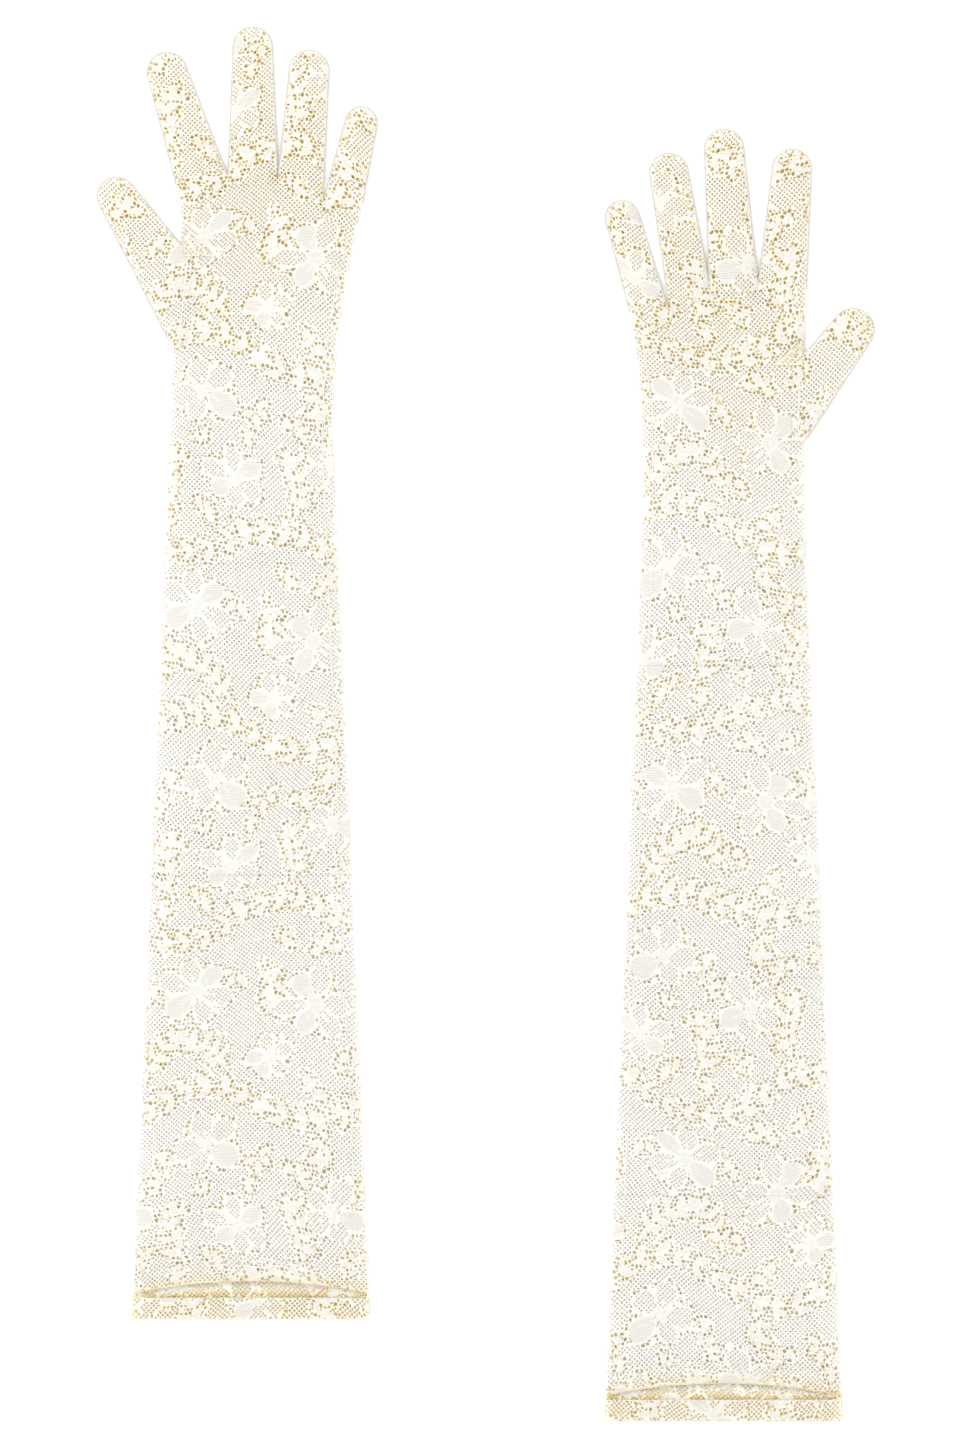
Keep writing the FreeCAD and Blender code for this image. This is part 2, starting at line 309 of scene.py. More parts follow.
def inside_polygon(points, polygon):
    """True where a point is inside a convex polygon drawn either way round."""
    ahead = np.ones(len(points), bool)
    behind = np.ones(len(points), bool)
    for start, end in zip(polygon, np.roll(polygon, -1, axis=0)):
        run = end - start
        turn = run[0] * (points[:, 1] - start[1]) - run[1] * (points[:, 0] - start[0])
        ahead &= turn >= 0
        behind &= turn <= 0
    return ahead | behind


def read_glove(side):
    glove = Glove(side)
    for finger in FINGERS:
        glove.digits[finger] = Digit(glove, finger, f"{finger}_finger", f"{finger}_curl")
    glove.digits["thumb"] = Digit(glove, "thumb", "thumb", "thumb_swing")
    glove.elbow = joint(f"{side}_elbow_fold")["pos_m"][1] - glove.origin[1]
    glove.cuts = [glove.elbow + ELBOW_CUTS[0], glove.elbow + ELBOW_CUTS[1], PALM_CUT]
    little = glove.digits["little"].outline
    thumb = glove.digits["thumb"].outline
    index = glove.digits["index"].outline
    low_hand, high_hand = reach_of_node(glove, "hand")
    little_corner = max((little[0], little[-1]), key=lambda p: -p[0])
    thumb_ends = sorted((thumb[0], thumb[-1]), key=lambda p: p[1])
    index_corner = max((index[0], index[-1]), key=lambda p: p[0])
    heights = []
    spans = []
    for node in ("upper_arm_sleeve", "forearm_sleeve"):
        low, high = reach_of_node(glove, node)
        heights += [low, high]
        spans.append(across_node(glove, node, [low, high]))
    rows = np.arange(low_hand, high_hand, 1.0 * MM)
    spans.append(across_node(glove, "hand", rows))
    glove.heights = np.array(heights + list(rows))
    glove.left_side, glove.right_side = np.vstack(spans).T
    glove.opening = glove.heights[0]
    left = np.array([
        (x, y) for x, y in zip(glove.left_side, glove.heights) if y < little_corner[1]
    ])
    below_thumb = np.array([
        (x, y) for x, y in zip(glove.right_side, glove.heights) if y < thumb_ends[0][1]
    ])
    above_thumb = np.array([
        (x, y)
        for x, y in zip(glove.right_side, glove.heights)
        if thumb_ends[1][1] < y < index_corner[1]
    ])
    glove.lines = [left, below_thumb, above_thumb]
    glove.lines += [digit.outline for digit in glove.digits.values()]
    sleeve_top = node_points(glove.name("upper_arm_sleeve"))
    level = sleeve_top[:, 2].max() - 0.01 * MM
    edge = glove.local(sleeve_top[sleeve_top[:, 2] > level])
    edge = edge[edge[:, 1] < glove.opening + 2 * HEM_DEPTH]
    glove.edge = edge[np.argsort(edge[:, 0])]
    return glove


def upper_edge(glove, x):
    """y of the upper layer's bowed edge at the opening."""
    return np.interp(x, glove.edge[:, 0], glove.edge[:, 1])


def inside_glove(glove, points):
    left = np.interp(points[:, 1], glove.heights, glove.left_side, left=1, right=1)
    right = np.interp(points[:, 1], glove.heights, glove.right_side, left=-1, right=-1)
    inside = (points[:, 0] > left) & (points[:, 0] < right)
    for digit in glove.digits.values():
        inside |= inside_polygon(points, digit.outline) | inside_polygon(points, digit.root)
    return inside


def edge_distance(glove, points):
    """How far a point is inside the glove's outline, and below zero outside it."""
    nearest = np.full(len(points), DEEP ** 2)
    for line in glove.lines:
        beside = (points > line.min(axis=0) - DEEP) & (points < line.max(axis=0) + DEEP)
        chosen = np.flatnonzero(beside.all(axis=1))
        close = points[chosen]
        best = nearest[chosen]
        for start, end in zip(line[:-1], line[1:]):
            run = end - start
            share = np.clip(((close - start) @ run) / (run @ run), 0, 1)
            gap = close - start - share[:, None] * run
            best = np.minimum(best, gap[:, 0] ** 2 + gap[:, 1] ** 2)
        nearest[chosen] = best
    nearest = np.sqrt(nearest)
    return np.where(inside_glove(glove, points), nearest, -nearest)


def ripple(x, y, phase):
    """Soft unevenness of cloth that isn't pressed, from -1 to 1."""
    waves = (
        np.sin(x / (9 * MM) + y / (31 * MM) + phase)
        + np.sin(x / (23 * MM) - y / (14 * MM) + 2.1 * phase)
        + np.sin(x / (15 * MM) + y / (47 * MM) + 3.7 * phase)
    )
    return waves / 3


def upper_height(glove, x, y, distance, phase):
    """Height of the upper layer over the table. It lies flatter towards the opening."""
    rise = 1 - np.exp(-np.maximum(distance, 0) / PUFF_REACH)
    flatter = np.interp(y - glove.opening, (0, FLAT_REACH), (FLAT_PUFF, 1))
    return EDGE_HEIGHT + rise * (flatter * PUFF + RIPPLE * ripple(x, y, phase))


def lower_height(distance):
    """Height of the lower layer, which lies on the table away from the folded edges."""
    fall = 1 - np.exp(-np.maximum(distance, 0) / TUCK_REACH)
    return EDGE_HEIGHT - fall * (EDGE_HEIGHT - REST_HEIGHT)


# The lace pattern --------------------------------------------------------------------------------

class Tile:
    """One repeat of the lace. Every array has a value for each step of the grid."""

    def __init__(self):
        rows, columns = np.mgrid[0:TILE_ROWS, 0:TILE_COLUMNS]
        self.rows = rows
        self.columns = columns
        self.x = columns * STEP
        self.y = rows * STEP
        self.motif = np.full(rows.shape, FAR)
        self.cord = np.full(rows.shape, FAR)
        self.rib = np.zeros(rows.shape)
        self.ribbed = np.zeros(rows.shape)
        self.holes = np.full(rows.shape, FAR)

    def turned(self, place, angle):
        """Each grid point along and across a motif, with the tile repeating on all sides."""
        dx = (self.x - place[0] + TILE_WIDTH / 2) % TILE_WIDTH - TILE_WIDTH / 2
        dy = (self.y - place[1] + TILE_LENGTH / 2) % TILE_LENGTH - TILE_LENGTH / 2
        along = dx * math.cos(angle) + dy * math.sin(angle)
        across = -dx * math.sin(angle) + dy * math.cos(angle)
        return along, across

    def add(self, gap, corded=True):
        covered = gap < 0
        self.cord = np.where(covered, FAR, self.cord)
        if corded:
            self.cord = np.minimum(self.cord, abs(gap))
        self.motif = np.minimum(self.motif, gap)


def add_petal(tile, place, angle, length, width, filling, slant):
    """A rounded petal with a vein and a raised thread round it.

    It is filled with close ribs ("solid") or with fine net ("net").
    """
    along, across = tile.turned(place, angle)
    share = np.clip(along / length, 0, 1)
    half = width / 2 * np.sqrt(np.maximum(1 - (2 * share - 1) ** 2, 0)) * (0.7 + 0.45 * share)
    beyond = np.maximum(np.maximum(-along, along - length), 0)
    gap = np.where(beyond > 0, np.hypot(beyond, across), (abs(across) - half) * PETAL_FLATNESS)
    tile.add(gap)
    within = gap < 0
    rib = along * math.sin(angle + slant) + across * math.cos(angle + slant)
    framed = (gap > -2 * CORD) | ((abs(across) < VEIN) & (along < 0.45 * length))
    tile.rib = np.where(within, rib / RIB_PITCH, tile.rib)
    ribbed = 0.2 if filling == "net" else 1.0
    tile.ribbed = np.where(within, np.where(framed, 0.0, ribbed), tile.ribbed)
    holes = net_field(tile, PETAL_HOLE) if filling == "net" else FAR
    tile.holes = np.where(within, np.where(framed, FAR, holes), tile.holes)


def add_leaf(tile, place, angle, length, width):
    """A small pointed leaf, worked solid."""
    along, across = tile.turned(place, angle)
    bend = across + 0.3 * width * np.sin(np.pi * np.clip(along / length, 0, 1))
    share = np.clip(2 * along / length - 1, -1, 1)
    half = width / 2 * (1 - share ** 2)
    beyond = np.maximum(np.maximum(-along, along - length), 0)
    gap = np.where(beyond > 0, np.hypot(beyond, bend), (abs(bend) - half) * LEAF_FLATNESS)
    tile.add(gap)
    within = gap < 0
    tile.rib = np.where(within, (across + 0.5 * along) / RIB_PITCH, tile.rib)
    tile.ribbed = np.where(within, 0.6, tile.ribbed)
    tile.holes = np.where(within, FAR, tile.holes)


def add_flower(tile, place, radius, petals, turn):
    first = int(random.integers(len(FILLINGS)))
    for number in range(petals):
        angle = turn + 2 * math.pi * number / petals + random.uniform(-0.15, 0.15)
        base = (
            place[0] + 0.2 * radius * math.cos(angle),
            place[1] + 0.2 * radius * math.sin(angle),
        )
        length = radius * random.uniform(0.7, 1.1)
        width = random.uniform(1.25, 1.6) * radius * math.sin(math.pi / petals)
        slant = random.uniform(-0.25, 0.25)
        filling = FILLINGS[(first + number) % len(FILLINGS)]
        add_petal(tile, base, angle, length, width, filling, slant)
    for number in range(petals):
        angle = turn + 2 * math.pi * (number + 0.5) / petals
        add_leaf(tile, place, angle, 0.26 * radius, 0.13 * radius)


def add_stem(tile, start, end):
    angle = math.atan2(end[1] - start[1], end[0] - start[0])
    length = math.hypot(end[0] - start[0], end[1] - start[1])
    along, across = tile.turned(start, angle)
    beyond = np.maximum(np.maximum(-along, along - length), 0)
    tile.add(np.hypot(beyond, across) - STEM, corded=False)


def add_spray(tile, start, heading, bend, pairs, size=6.8 * MM):
    """A curved stem with pairs of leaves, ending in a single leaf."""
    place = start
    for _ in range(pairs):
        run = 0.82 * size
        following = (place[0] + run * math.cos(heading), place[1] + run * math.sin(heading))
        add_stem(tile, place, following)
        for hand in (1, -1):
            lean = heading + hand * random.uniform(0.8, 1.15)
            add_leaf(tile, following, lean, size * random.uniform(0.85, 1.1), 0.32 * size)
        heading += bend
        place = following
    add_leaf(tile, place, heading, 1.1 * size, 0.32 * size)


def add_garland(tile, level, swing, phase):
    """A wavy stem across the whole repeat, with leaves on both sides."""
    count = 11
    for number in range(count):
        ends = []
        for share in (number / count, (number + 1) / count):
            x = share * TILE_WIDTH
            ends.append((x, level + swing * math.sin(2 * math.pi * share + phase)))
        add_stem(tile, *ends)
        slope = math.atan2(ends[1][1] - ends[0][1], ends[1][0] - ends[0][0])
        for hand in (1, -1):
            size = random.uniform(6.0, 9.0) * MM
            lean = slope + hand * random.uniform(0.55, 1.0)
            add_leaf(tile, ends[0], lean, size, 0.31 * size)


def add_sprig(tile, place, turn):
    """A small filling: a few leaves that spread from one point."""
    leaves = int(random.integers(2, 5))
    spread = random.uniform(0.8, 1.2)
    for number in range(leaves):
        angle = turn + spread * (number - (leaves - 1) / 2)
        size = random.uniform(4.5, 7.0) * MM
        base = (place[0] + 1.2 * MM * math.cos(angle), place[1] + 1.2 * MM * math.sin(angle))
        add_leaf(tile, base, angle, size, random.uniform(0.3, 0.4) * size)


def net_field(tile, hole):
    """Distance into the thread of the plain net, whose diamond holes sit on a diagonal lattice."""
    def from_hole(shift):
        column = (tile.columns + shift) % 4 - 2
        row = (tile.rows + shift) % 4 - 2
        return abs(column) + abs(row)

    nearest = np.minimum(from_hole(0), from_hole(2))
    return (nearest - hole) * STEP * math.sqrt(0.5)


def cell_field(tile):
    """Distance into the thread of the open ground, an uneven mesh of larger holes."""
    columns = round(TILE_WIDTH / CELL_SIZE)
    rows = round(TILE_LENGTH / CELL_SIZE)
    shift = random.uniform(-0.36, 0.36, (2, rows, columns))
    at_column = np.floor(tile.x / CELL_SIZE).astype(int)
    at_row = np.floor(tile.y / CELL_SIZE).astype(int)
    nearest = np.full(tile.x.shape, FAR)
    second = np.full(tile.x.shape, FAR)
    for row_step in (-1, 0, 1):
        for column_step in (-1, 0, 1):
            column = at_column + column_step
            row = at_row + row_step
            moved = shift[:, row % rows, column % columns]
            stagger = 0.5 * (row % 2)
            dx = tile.x - (column + 0.5 + stagger - 0.25 + moved[0]) * CELL_SIZE
            dy = tile.y - (row + 0.5 + moved[1]) * CELL_SIZE
            far = np.hypot(dx, dy)
            second = np.minimum(second, np.maximum(far, nearest))
            nearest = np.minimum(nearest, far)
    return CELL_THREAD - (second - nearest) / 2


def fill_with_sprigs(tile, tries, apart):
    """Sprigs at uneven places, clear of the flowers and of each other."""
    for _ in range(tries):
        row = int(random.integers(TILE_ROWS))
        column = int(random.integers(TILE_COLUMNS))
        turn = random.uniform(0, 2 * math.pi)
        if tile.motif[row, column] > apart:
            add_sprig(tile, (column * STEP, row * STEP), turn)


def lay_out_motifs(tile):
    add_garland(tile, 34 * MM, 9 * MM, 0.0)
    add_garland(tile, 118 * MM, 8 * MM, 2.4)
    add_spray(tile, (10 * MM, 48 * MM), 1.1, -0.16, 4)
    add_spray(tile, (47 * MM, 48 * MM), 1.9, 0.18, 4)
    add_spray(tile, (88 * MM, 96 * MM), -1.9, 0.2, 3)
    add_spray(tile, (34 * MM, 130 * MM), 1.2, 0.2, 4)
    add_spray(tile, (76 * MM, 132 * MM), 1.9, -0.2, 4)
    add_spray(tile, (60 * MM, 22 * MM), -1.2, -0.2, 2)
    add_flower(tile, (24 * MM, 88 * MM), 14 * MM, 6, 0.3)
    add_flower(tile, (66 * MM, 76 * MM), 15 * MM, 6, 0.9)
    add_flower(tile, (86 * MM, 52 * MM), 10 * MM, 5, 0.1)
    add_flower(tile, (18 * MM, 14 * MM), 13 * MM, 5, 1.3)
    add_flower(tile, (8 * MM, 144 * MM), 12 * MM, 6, 0.5)
    add_flower(tile, (58 * MM, 156 * MM), 13 * MM, 5, 0.8)
    fill_with_sprigs(tile, 220, 7.5 * MM)


def make_tile():
    tile = Tile()
    lay_out_motifs(tile)
    net = net_field(tile, NET_HOLE)
    cells = cell_field(tile)
    away = tile.motif - CELL_REACH
    ground = np.where(away < 0, cells, net)
    ground = np.where(abs(away) < 0.5 * STEP, np.maximum(cells, net), ground)
    solid = np.minimum(CORD - tile.motif, 1.0 * MM)
    solid = np.minimum(solid, np.maximum(tile.holes, -0.4 * MM))
    thread = np.where(tile.motif < CORD, solid, ground)
    tile.thread = np.where(tile.cord < 0.6 * CORD, np.maximum(thread, 0.3 * MM), thread)
    tile.rise = CORD_RISE * np.exp(-((tile.cord / CORD) ** 2))
    tile.work = np.where(tile.motif < CORD, 1 - np.exp(-((tile.cord / CORD) ** 2)), 0.35)
    return tile


# Threads from the pattern ------------------------------------------------------------------------

# Corners of a grid square: 0 low left, 1 low right, 2 high right, 3 high left.
# Crossings on its sides: 4 low, 5 right, 6 high, 7 left.
SQUARES = {
    1: [[0, 4, 7]], 2: [[1, 5, 4]], 3: [[0, 1, 5, 7]], 4: [[2, 6, 5]],
    5: [[0, 4, 5, 2, 6, 7]], 6: [[1, 2, 6, 4]], 7: [[1, 2, 6, 7, 0]], 8: [[3, 7, 6]],
    9: [[0, 4, 6, 3]], 10: [[1, 5, 6, 3, 7, 4]], 11: [[0, 1, 5, 6, 3]], 12: [[2, 3, 7, 5]],
    13: [[3, 0, 4, 5, 2]], 14: [[2, 3, 7, 4, 1]], 15: [[0, 1, 2, 3]],
}
APART = {5: [[0, 4, 7], [2, 6, 5]], 10: [[1, 5, 4], [3, 7, 6]]}
RIDGE = [[1, 2, 3, 0]]      # a whole square whose thickest corners are 1 and 3
LEAST_SHARE = 0.12          # no crossing is nearer than this to a corner, which keeps triangles sound


class Cloth:
    """A lace surface: vertices, triangles, the grid square of each triangle, and vertex values."""


def crossings(field, first, last, values):
    """Vertices where the thread's edge crosses between two neighbouring grid points."""
    share = field[first] / (field[first] - field[last])
    share = np.clip(share, LEAST_SHARE, 1 - LEAST_SHARE)[:, None]
    middle = values[first] * (1 - share) + values[last] * share
    kept = np.where((field[first] > 0)[:, None], values[first], values[last])
    middle[:, 3:] = kept[:, 3:]
    return middle


def weave(field, values):
    """Cut a grid of thread distances into threads with a rounded top and underside.

    values holds x, y, height, half thickness, rise, the painted shade at the rims of the holes, and
    then what the material reads, per grid point.
    """
    rows, columns = field.shape
    flat = field.ravel()
    table = values.reshape(rows * columns, -1)
    number = np.arange(rows * columns).reshape(rows, columns)
    solid = flat > 0
    tops = np.full(rows * columns, -1)
    tops[solid] = np.arange(solid.sum())
    count = int(solid.sum())

    def rims(first, last, offset):
        differs = solid[first] != solid[last]
        ids = np.full(first.shape, -1)
        ids[differs] = offset + np.arange(int(differs.sum()))
        return ids, crossings(flat, first[differs], last[differs], table)

    level, level_values = rims(number[:, :-1], number[:, 1:], 2 * count)
    upright, upright_values = rims(number[:-1], number[1:], 2 * count + len(level_values))

    corner = [number[:-1, :-1], number[:-1, 1:], number[1:, 1:], number[1:, :-1]]
    code = sum(solid[c].astype(int) << k for k, c in enumerate(corner))
    centre = sum(flat[c] for c in corner) / 4
    rising = flat[corner[0]] + flat[corner[2]] >= flat[corner[1]] + flat[corner[3]]
    edge_ids = [level[:-1], upright[:, 1:], level[1:], upright[:, :-1]]
    ids = np.stack([tops[c] for c in corner] + edge_ids)
    square = np.arange(code.size).reshape(code.shape)

    faces = []
    squares = []
    for case, joined in SQUARES.items():
        variants = [(code == case, joined)]
        if case in APART:
            variants = [
                ((code == case) & (centre > 0), joined),
                ((code == case) & (centre <= 0), APART[case]),
            ]
        if case == 15:
            variants = [((code == case) & rising, joined), ((code == case) & ~rising, RIDGE)]
        for where, shapes in variants:
            for shape in shapes:
                chosen = ids[:, where]
                for k in range(1, len(shape) - 1):
                    triangle = (shape[0], shape[k], shape[k + 1])
                    faces.append(np.stack([chosen[c] for c in triangle], axis=1))
                    squares.append(square[where])
    upper = np.vstack(faces)
    lower = np.where(upper < count, upper + count, upper)[:, ::-1]

    body = table[solid]
    above = body[:, :3].copy()
    above[:, 2] += body[:, 3] + body[:, 4]
    below = body[:, :3].copy()
    below[:, 2] -= body[:, 3]
    rim = np.vstack([level_values, upright_values])
    cloth = Cloth()
    cloth.points = np.vstack([above, below, rim[:, :3]])
    rim[:, 6] = rim[:, 5]
    underside = body[:, 6:].copy()
    underside[:, 0] = 0
    cloth.marks = np.vstack([body[:, 6:], underside, rim[:, 6:]])
    cloth.twin = np.arange(len(cloth.points))
    cloth.twin[:count] += count
    cloth.triangles = np.vstack([upper, lower])
    squares = np.concatenate(squares)
    cloth.squares = np.concatenate([squares, squares])
    return cloth


def cut_walls(triangles, twin):
    """Small walls that close the threads where a piece of cloth is cut from its neighbour."""
    size = len(twin)
    start = triangles.ravel()
    end = np.roll(triangles, -1, axis=1).ravel()
    there = start * size + end
    back = end * size + start
    free = ~np.isin(there, back)
    is_top = (twin[start] != start) | (twin[end] != end)
    a = start[free & is_top]
    b = end[free & is_top]
    walls = np.vstack([
        np.stack([b, a, twin[a]], axis=1),
        np.stack([b, twin[a], twin[b]], axis=1),
    ])
    proper = (walls != np.roll(walls, 1, axis=1)).all(axis=1)
    return walls[proper]


MARKS = ("warm", "rib", "ribbed", "work")


def mesh_piece(glove, name, points, triangles, marks=None, material=None, walls=None):
    """A Blender object from vertices in the glove's frame and triangles or squares.

    The walls at a cut are shaded flat, so the two pieces beside the cut look like one.
    """
    smooth = np.ones(len(triangles), bool)
    if walls is not None:
        smooth = np.append(smooth, np.zeros(len(walls), bool))
        triangles = np.vstack([triangles, walls])
    used, renamed = np.unique(triangles, return_inverse=True)
    renamed = renamed.reshape(triangles.shape)
    if glove.turn < 0:
        renamed = renamed[:, ::-1]
    placed = glove.world(points[used])
    mesh = bpy.data.meshes.new(name)
    sides = triangles.shape[1]
    mesh.vertices.add(len(placed))
    mesh.vertices.foreach_set("co", placed.ravel())
    mesh.loops.add(renamed.size)
    mesh.loops.foreach_set("vertex_index", renamed.ravel())
    mesh.polygons.add(len(renamed))
    mesh.polygons.foreach_set("loop_start", np.arange(len(renamed)) * sides)
    mesh.polygons.foreach_set("use_smooth", smooth)
    mesh.update(calc_edges=True)
    mesh.validate()
    if marks is not None:
        for number, mark in enumerate(MARKS):
            attribute = mesh.attributes.new(mark, "FLOAT", "POINT")
            attribute.data.foreach_set("value", marks[used, number].astype(np.float32))
    if material:
        mesh.materials.append(material)
    piece = bpy.data.objects.new(name, mesh)
    bpy.context.scene.collection.objects.link(piece)
    return piece


def grid_numbers(glove, diagonal, low, high):
    """Whole-number steps of a grid over a glove: straight, or turned by 45 degrees and coarser."""
    if low is None:
        low = (glove.left_side.min(), glove.opening)
        high = np.vstack([digit.outline for digit in glove.digits.values()]).max(axis=0)
    low = np.floor((np.array(low) - 12 * MM) / STEP).astype(int)
    high = np.ceil((np.array(high) + 12 * MM) / STEP).astype(int)
    if not diagonal:
        return np.meshgrid(np.arange(low[0], high[0]), np.arange(low[1], high[1]))
    p, q = np.meshgrid(
        np.arange((low[0] + low[1]) // 2, (high[0] + high[1]) // 2),
        np.arange((low[1] - high[0]) // 2, (high[1] - low[0]) // 2),
    )
    return p - q, p + q


def drift(x, y, phase):
    """How far the cloth has pulled out of true at a point of its pattern."""
    long_swing = 3.2 * MM * np.sin(y / (26 * MM) + phase)
    short_swing = 1.2 * MM * np.sin(y / (11 * MM) + 2 * phase)
    sideways = (long_swing + short_swing) * np.sin(y / (70 * MM) + phase)
    return sideways, 3.8 * MM * np.sin(x / (19 * MM) + y / (60 * MM) + phase)


def lay_lace(glove, tile, shift, mirrored, diagonal, phase, low=None, high=None):
    """The pattern over a glove, or from corner low to corner high of it.

    It says where each grid point lies, and how deep in a thread it is.
    """
    column, row = grid_numbers(glove, diagonal, low, high)
    along = column if not mirrored else -column
    pick = ((row + shift[1]) % TILE_ROWS, (along + shift[0]) % TILE_COLUMNS)
    x = column * STEP
    y = row * STEP
    drift_x, drift_y = drift(x, y, phase)
    cloth = Cloth()
    cloth.x = x + drift_x
    cloth.y = y + drift_y
    cloth.pick = pick
    flat = np.stack([cloth.x.ravel(), cloth.y.ravel()], axis=1)
    near = (flat[:, 1] > glove.opening - 3 * MM) & inside_glove_box(glove, flat)
    distance = np.full(len(flat), -5 * MM)
    distance[near] = edge_distance(glove, flat[near])
    cloth.distance = distance.reshape(x.shape)
    cloth.thread = tile.thread[pick]
    return cloth


def inside_glove_box(glove, flat):
    """A quick first test, so that distances are only worked out near the glove."""
    left = np.interp(flat[:, 1], glove.heights, glove.left_side) - 3 * MM
    right = np.interp(flat[:, 1], glove.heights, glove.right_side) + 3 * MM
    above = glove.digits["thumb"].outline[:, 1].min() - 3 * MM
    return ((flat[:, 0] > left) & (flat[:, 0] < right)) | (flat[:, 1] > above)


def grid_values(tile, cloth, height, warm, rim_painted_shade):
    """The values that weave() needs at each grid point."""
    pick = cloth.pick
    depth = np.clip(cloth.field / THREAD_SHOULDER, 0, 1)
    half = THREAD_DEPTH * np.sqrt(depth * (2 - depth))
    fade = np.clip(cloth.distance / (1 * MM), 0, 1)
    return np.stack([
        cloth.x,
        cloth.y,
        height,
        half,
        tile.rise[pick] * depth * fade,
        np.broadcast_to(rim_painted_shade, cloth.x.shape) * np.clip(cloth.distance / RIM_FADE, 0, 1),
        np.broadcast_to(warm, cloth.x.shape),
        tile.rib[pick],
        tile.ribbed[pick],
        tile.work[pick],
    ], axis=-1)


def bordered(cloth, inside, width):
    """The thread distances of a cloth cut to its outline, with a plain thread along the edge."""
    border = np.where(inside < width, BORDER_THREAD, NO_THREAD)
    return np.minimum(inside, np.maximum(cloth.thread, border))


def owners(glove, x, y):
    """Which piece a grid square belongs to: a digit's number, or the sleeve section after those."""
    flat = np.stack([x.ravel(), y.ravel()], axis=1)
    owner = np.full(len(flat), -1)
    best = np.full(len(flat), math.inf)
    for number, digit in enumerate(glove.digits.values()):
        inside = inside_polygon(flat, grown(digit.outline, OWNER_MARGIN))
        inside |= inside_polygon(flat, grown(digit.root, OWNER_MARGIN))
        side = abs((flat - digit.middle) @ digit.across) / digit.half_width
        ahead = (flat - digit.base) @ digit.along > -DIGIT_OVERLAP
        better = inside & ahead & (side < best)
        owner[better] = number
        best[better] = side[better]
    section = np.searchsorted(np.array(glove.cuts), flat[:, 1])
    return np.where(owner >= 0, owner, FIRST_SECTION + section)


def grown(polygon, distance):
    middle = polygon.mean(axis=0)
    out = polygon - middle
    return polygon + out / np.linalg.norm(out, axis=1)[:, None] * distance


def cut_pieces(glove, cloth_mesh, grid_x, grid_y):
    """The triangles of each piece, by the grid square they lie in."""
    centre_x = (grid_x[:-1, :-1] + grid_x[1:, 1:]) / 2
    centre_y = (grid_y[:-1, :-1] + grid_y[1:, 1:]) / 2
    owner = owners(glove, centre_x, centre_y)[cloth_mesh.squares]
    return {int(key): cloth_mesh.triangles[owner == key] for key in np.unique(owner)}


# Materials ---------------------------------------------------------------------------------------

def mark_node(tree, name):
    """The value that each vertex of a cloth holds under a name."""
    node = tree.nodes.new("ShaderNodeAttribute")
    node.attribute_name = name
    return node.outputs["Fac"]


def mixed(tree, factor, first, second):
    """A colour between two colours, each a socket or a plain value."""
    node = tree.nodes.new("ShaderNodeMix")
    node.data_type = "RGBA"
    for socket, value in ((node.inputs[0], factor), (node.inputs[6], first), (node.inputs[7], second)):
        if hasattr(value, "links"):
            tree.links.new(value, socket)
        elif isinstance(value, float):
            socket.default_value = value
        else:
            socket.default_value = (*value, 1)
    return node.outputs[2]


def maths(tree, operation, *values):
    node = tree.nodes.new("ShaderNodeMath")
    node.operation = operation
    for socket, value in zip(node.inputs, values):
        if hasattr(value, "links"):
            tree.links.new(value, socket)
        else:
            socket.default_value = value
    return node.outputs[0]


def noise(tree, scale, detail=2.0):
    place = tree.nodes.new("ShaderNodeTexCoord").outputs["Object"]
    node = tree.nodes.new("ShaderNodeTexNoise")
    node.inputs["Scale"].default_value = scale
    node.inputs["Detail"].default_value = detail
    tree.links.new(place, node.inputs["Vector"])
    return node.outputs["Fac"]


def cloth_material(name):
    material = bpy.data.materials.new(name)
    material.use_nodes = True
    shader = material.node_tree.nodes["Principled BSDF"]
    shader.inputs["Roughness"].default_value = 0.75
    shader.inputs["Specular IOR Level"].default_value = 0.25
    shader.inputs["Sheen Weight"].default_value = 0.15
    shader.inputs["Sheen Roughness"].default_value = 0.5
    return material, material.node_tree, shader


def let_light_through(tree, shader, colour, share):
    """Thin threads pass some of the light that falls on them."""
    through = tree.nodes.new("ShaderNodeBsdfTranslucent")
    tree.links.new(colour, through.inputs["Color"])
    both = tree.nodes.new("ShaderNodeMixShader")
    both.inputs[0].default_value = share
    tree.links.new(shader.outputs[0], both.inputs[1])
    tree.links.new(through.outputs[0], both.inputs[2])
    output = tree.nodes["Material Output"]
    tree.links.new(both.outputs[0], output.inputs["Surface"])


def roughened(tree, shader, pattern, least, spread):
    roughness = maths(tree, "ADD", least, maths(tree, "MULTIPLY", pattern, spread))
    tree.links.new(roughness, shader.inputs["Roughness"])


def bumped(tree, shader, height, strength, depth):
    bump = tree.nodes.new("ShaderNodeBump")
    bump.inputs["Strength"].default_value = strength
    bump.inputs["Distance"].default_value = depth
    tree.links.new(height, bump.inputs["Height"])
    tree.links.new(bump.outputs["Normal"], shader.inputs["Normal"])


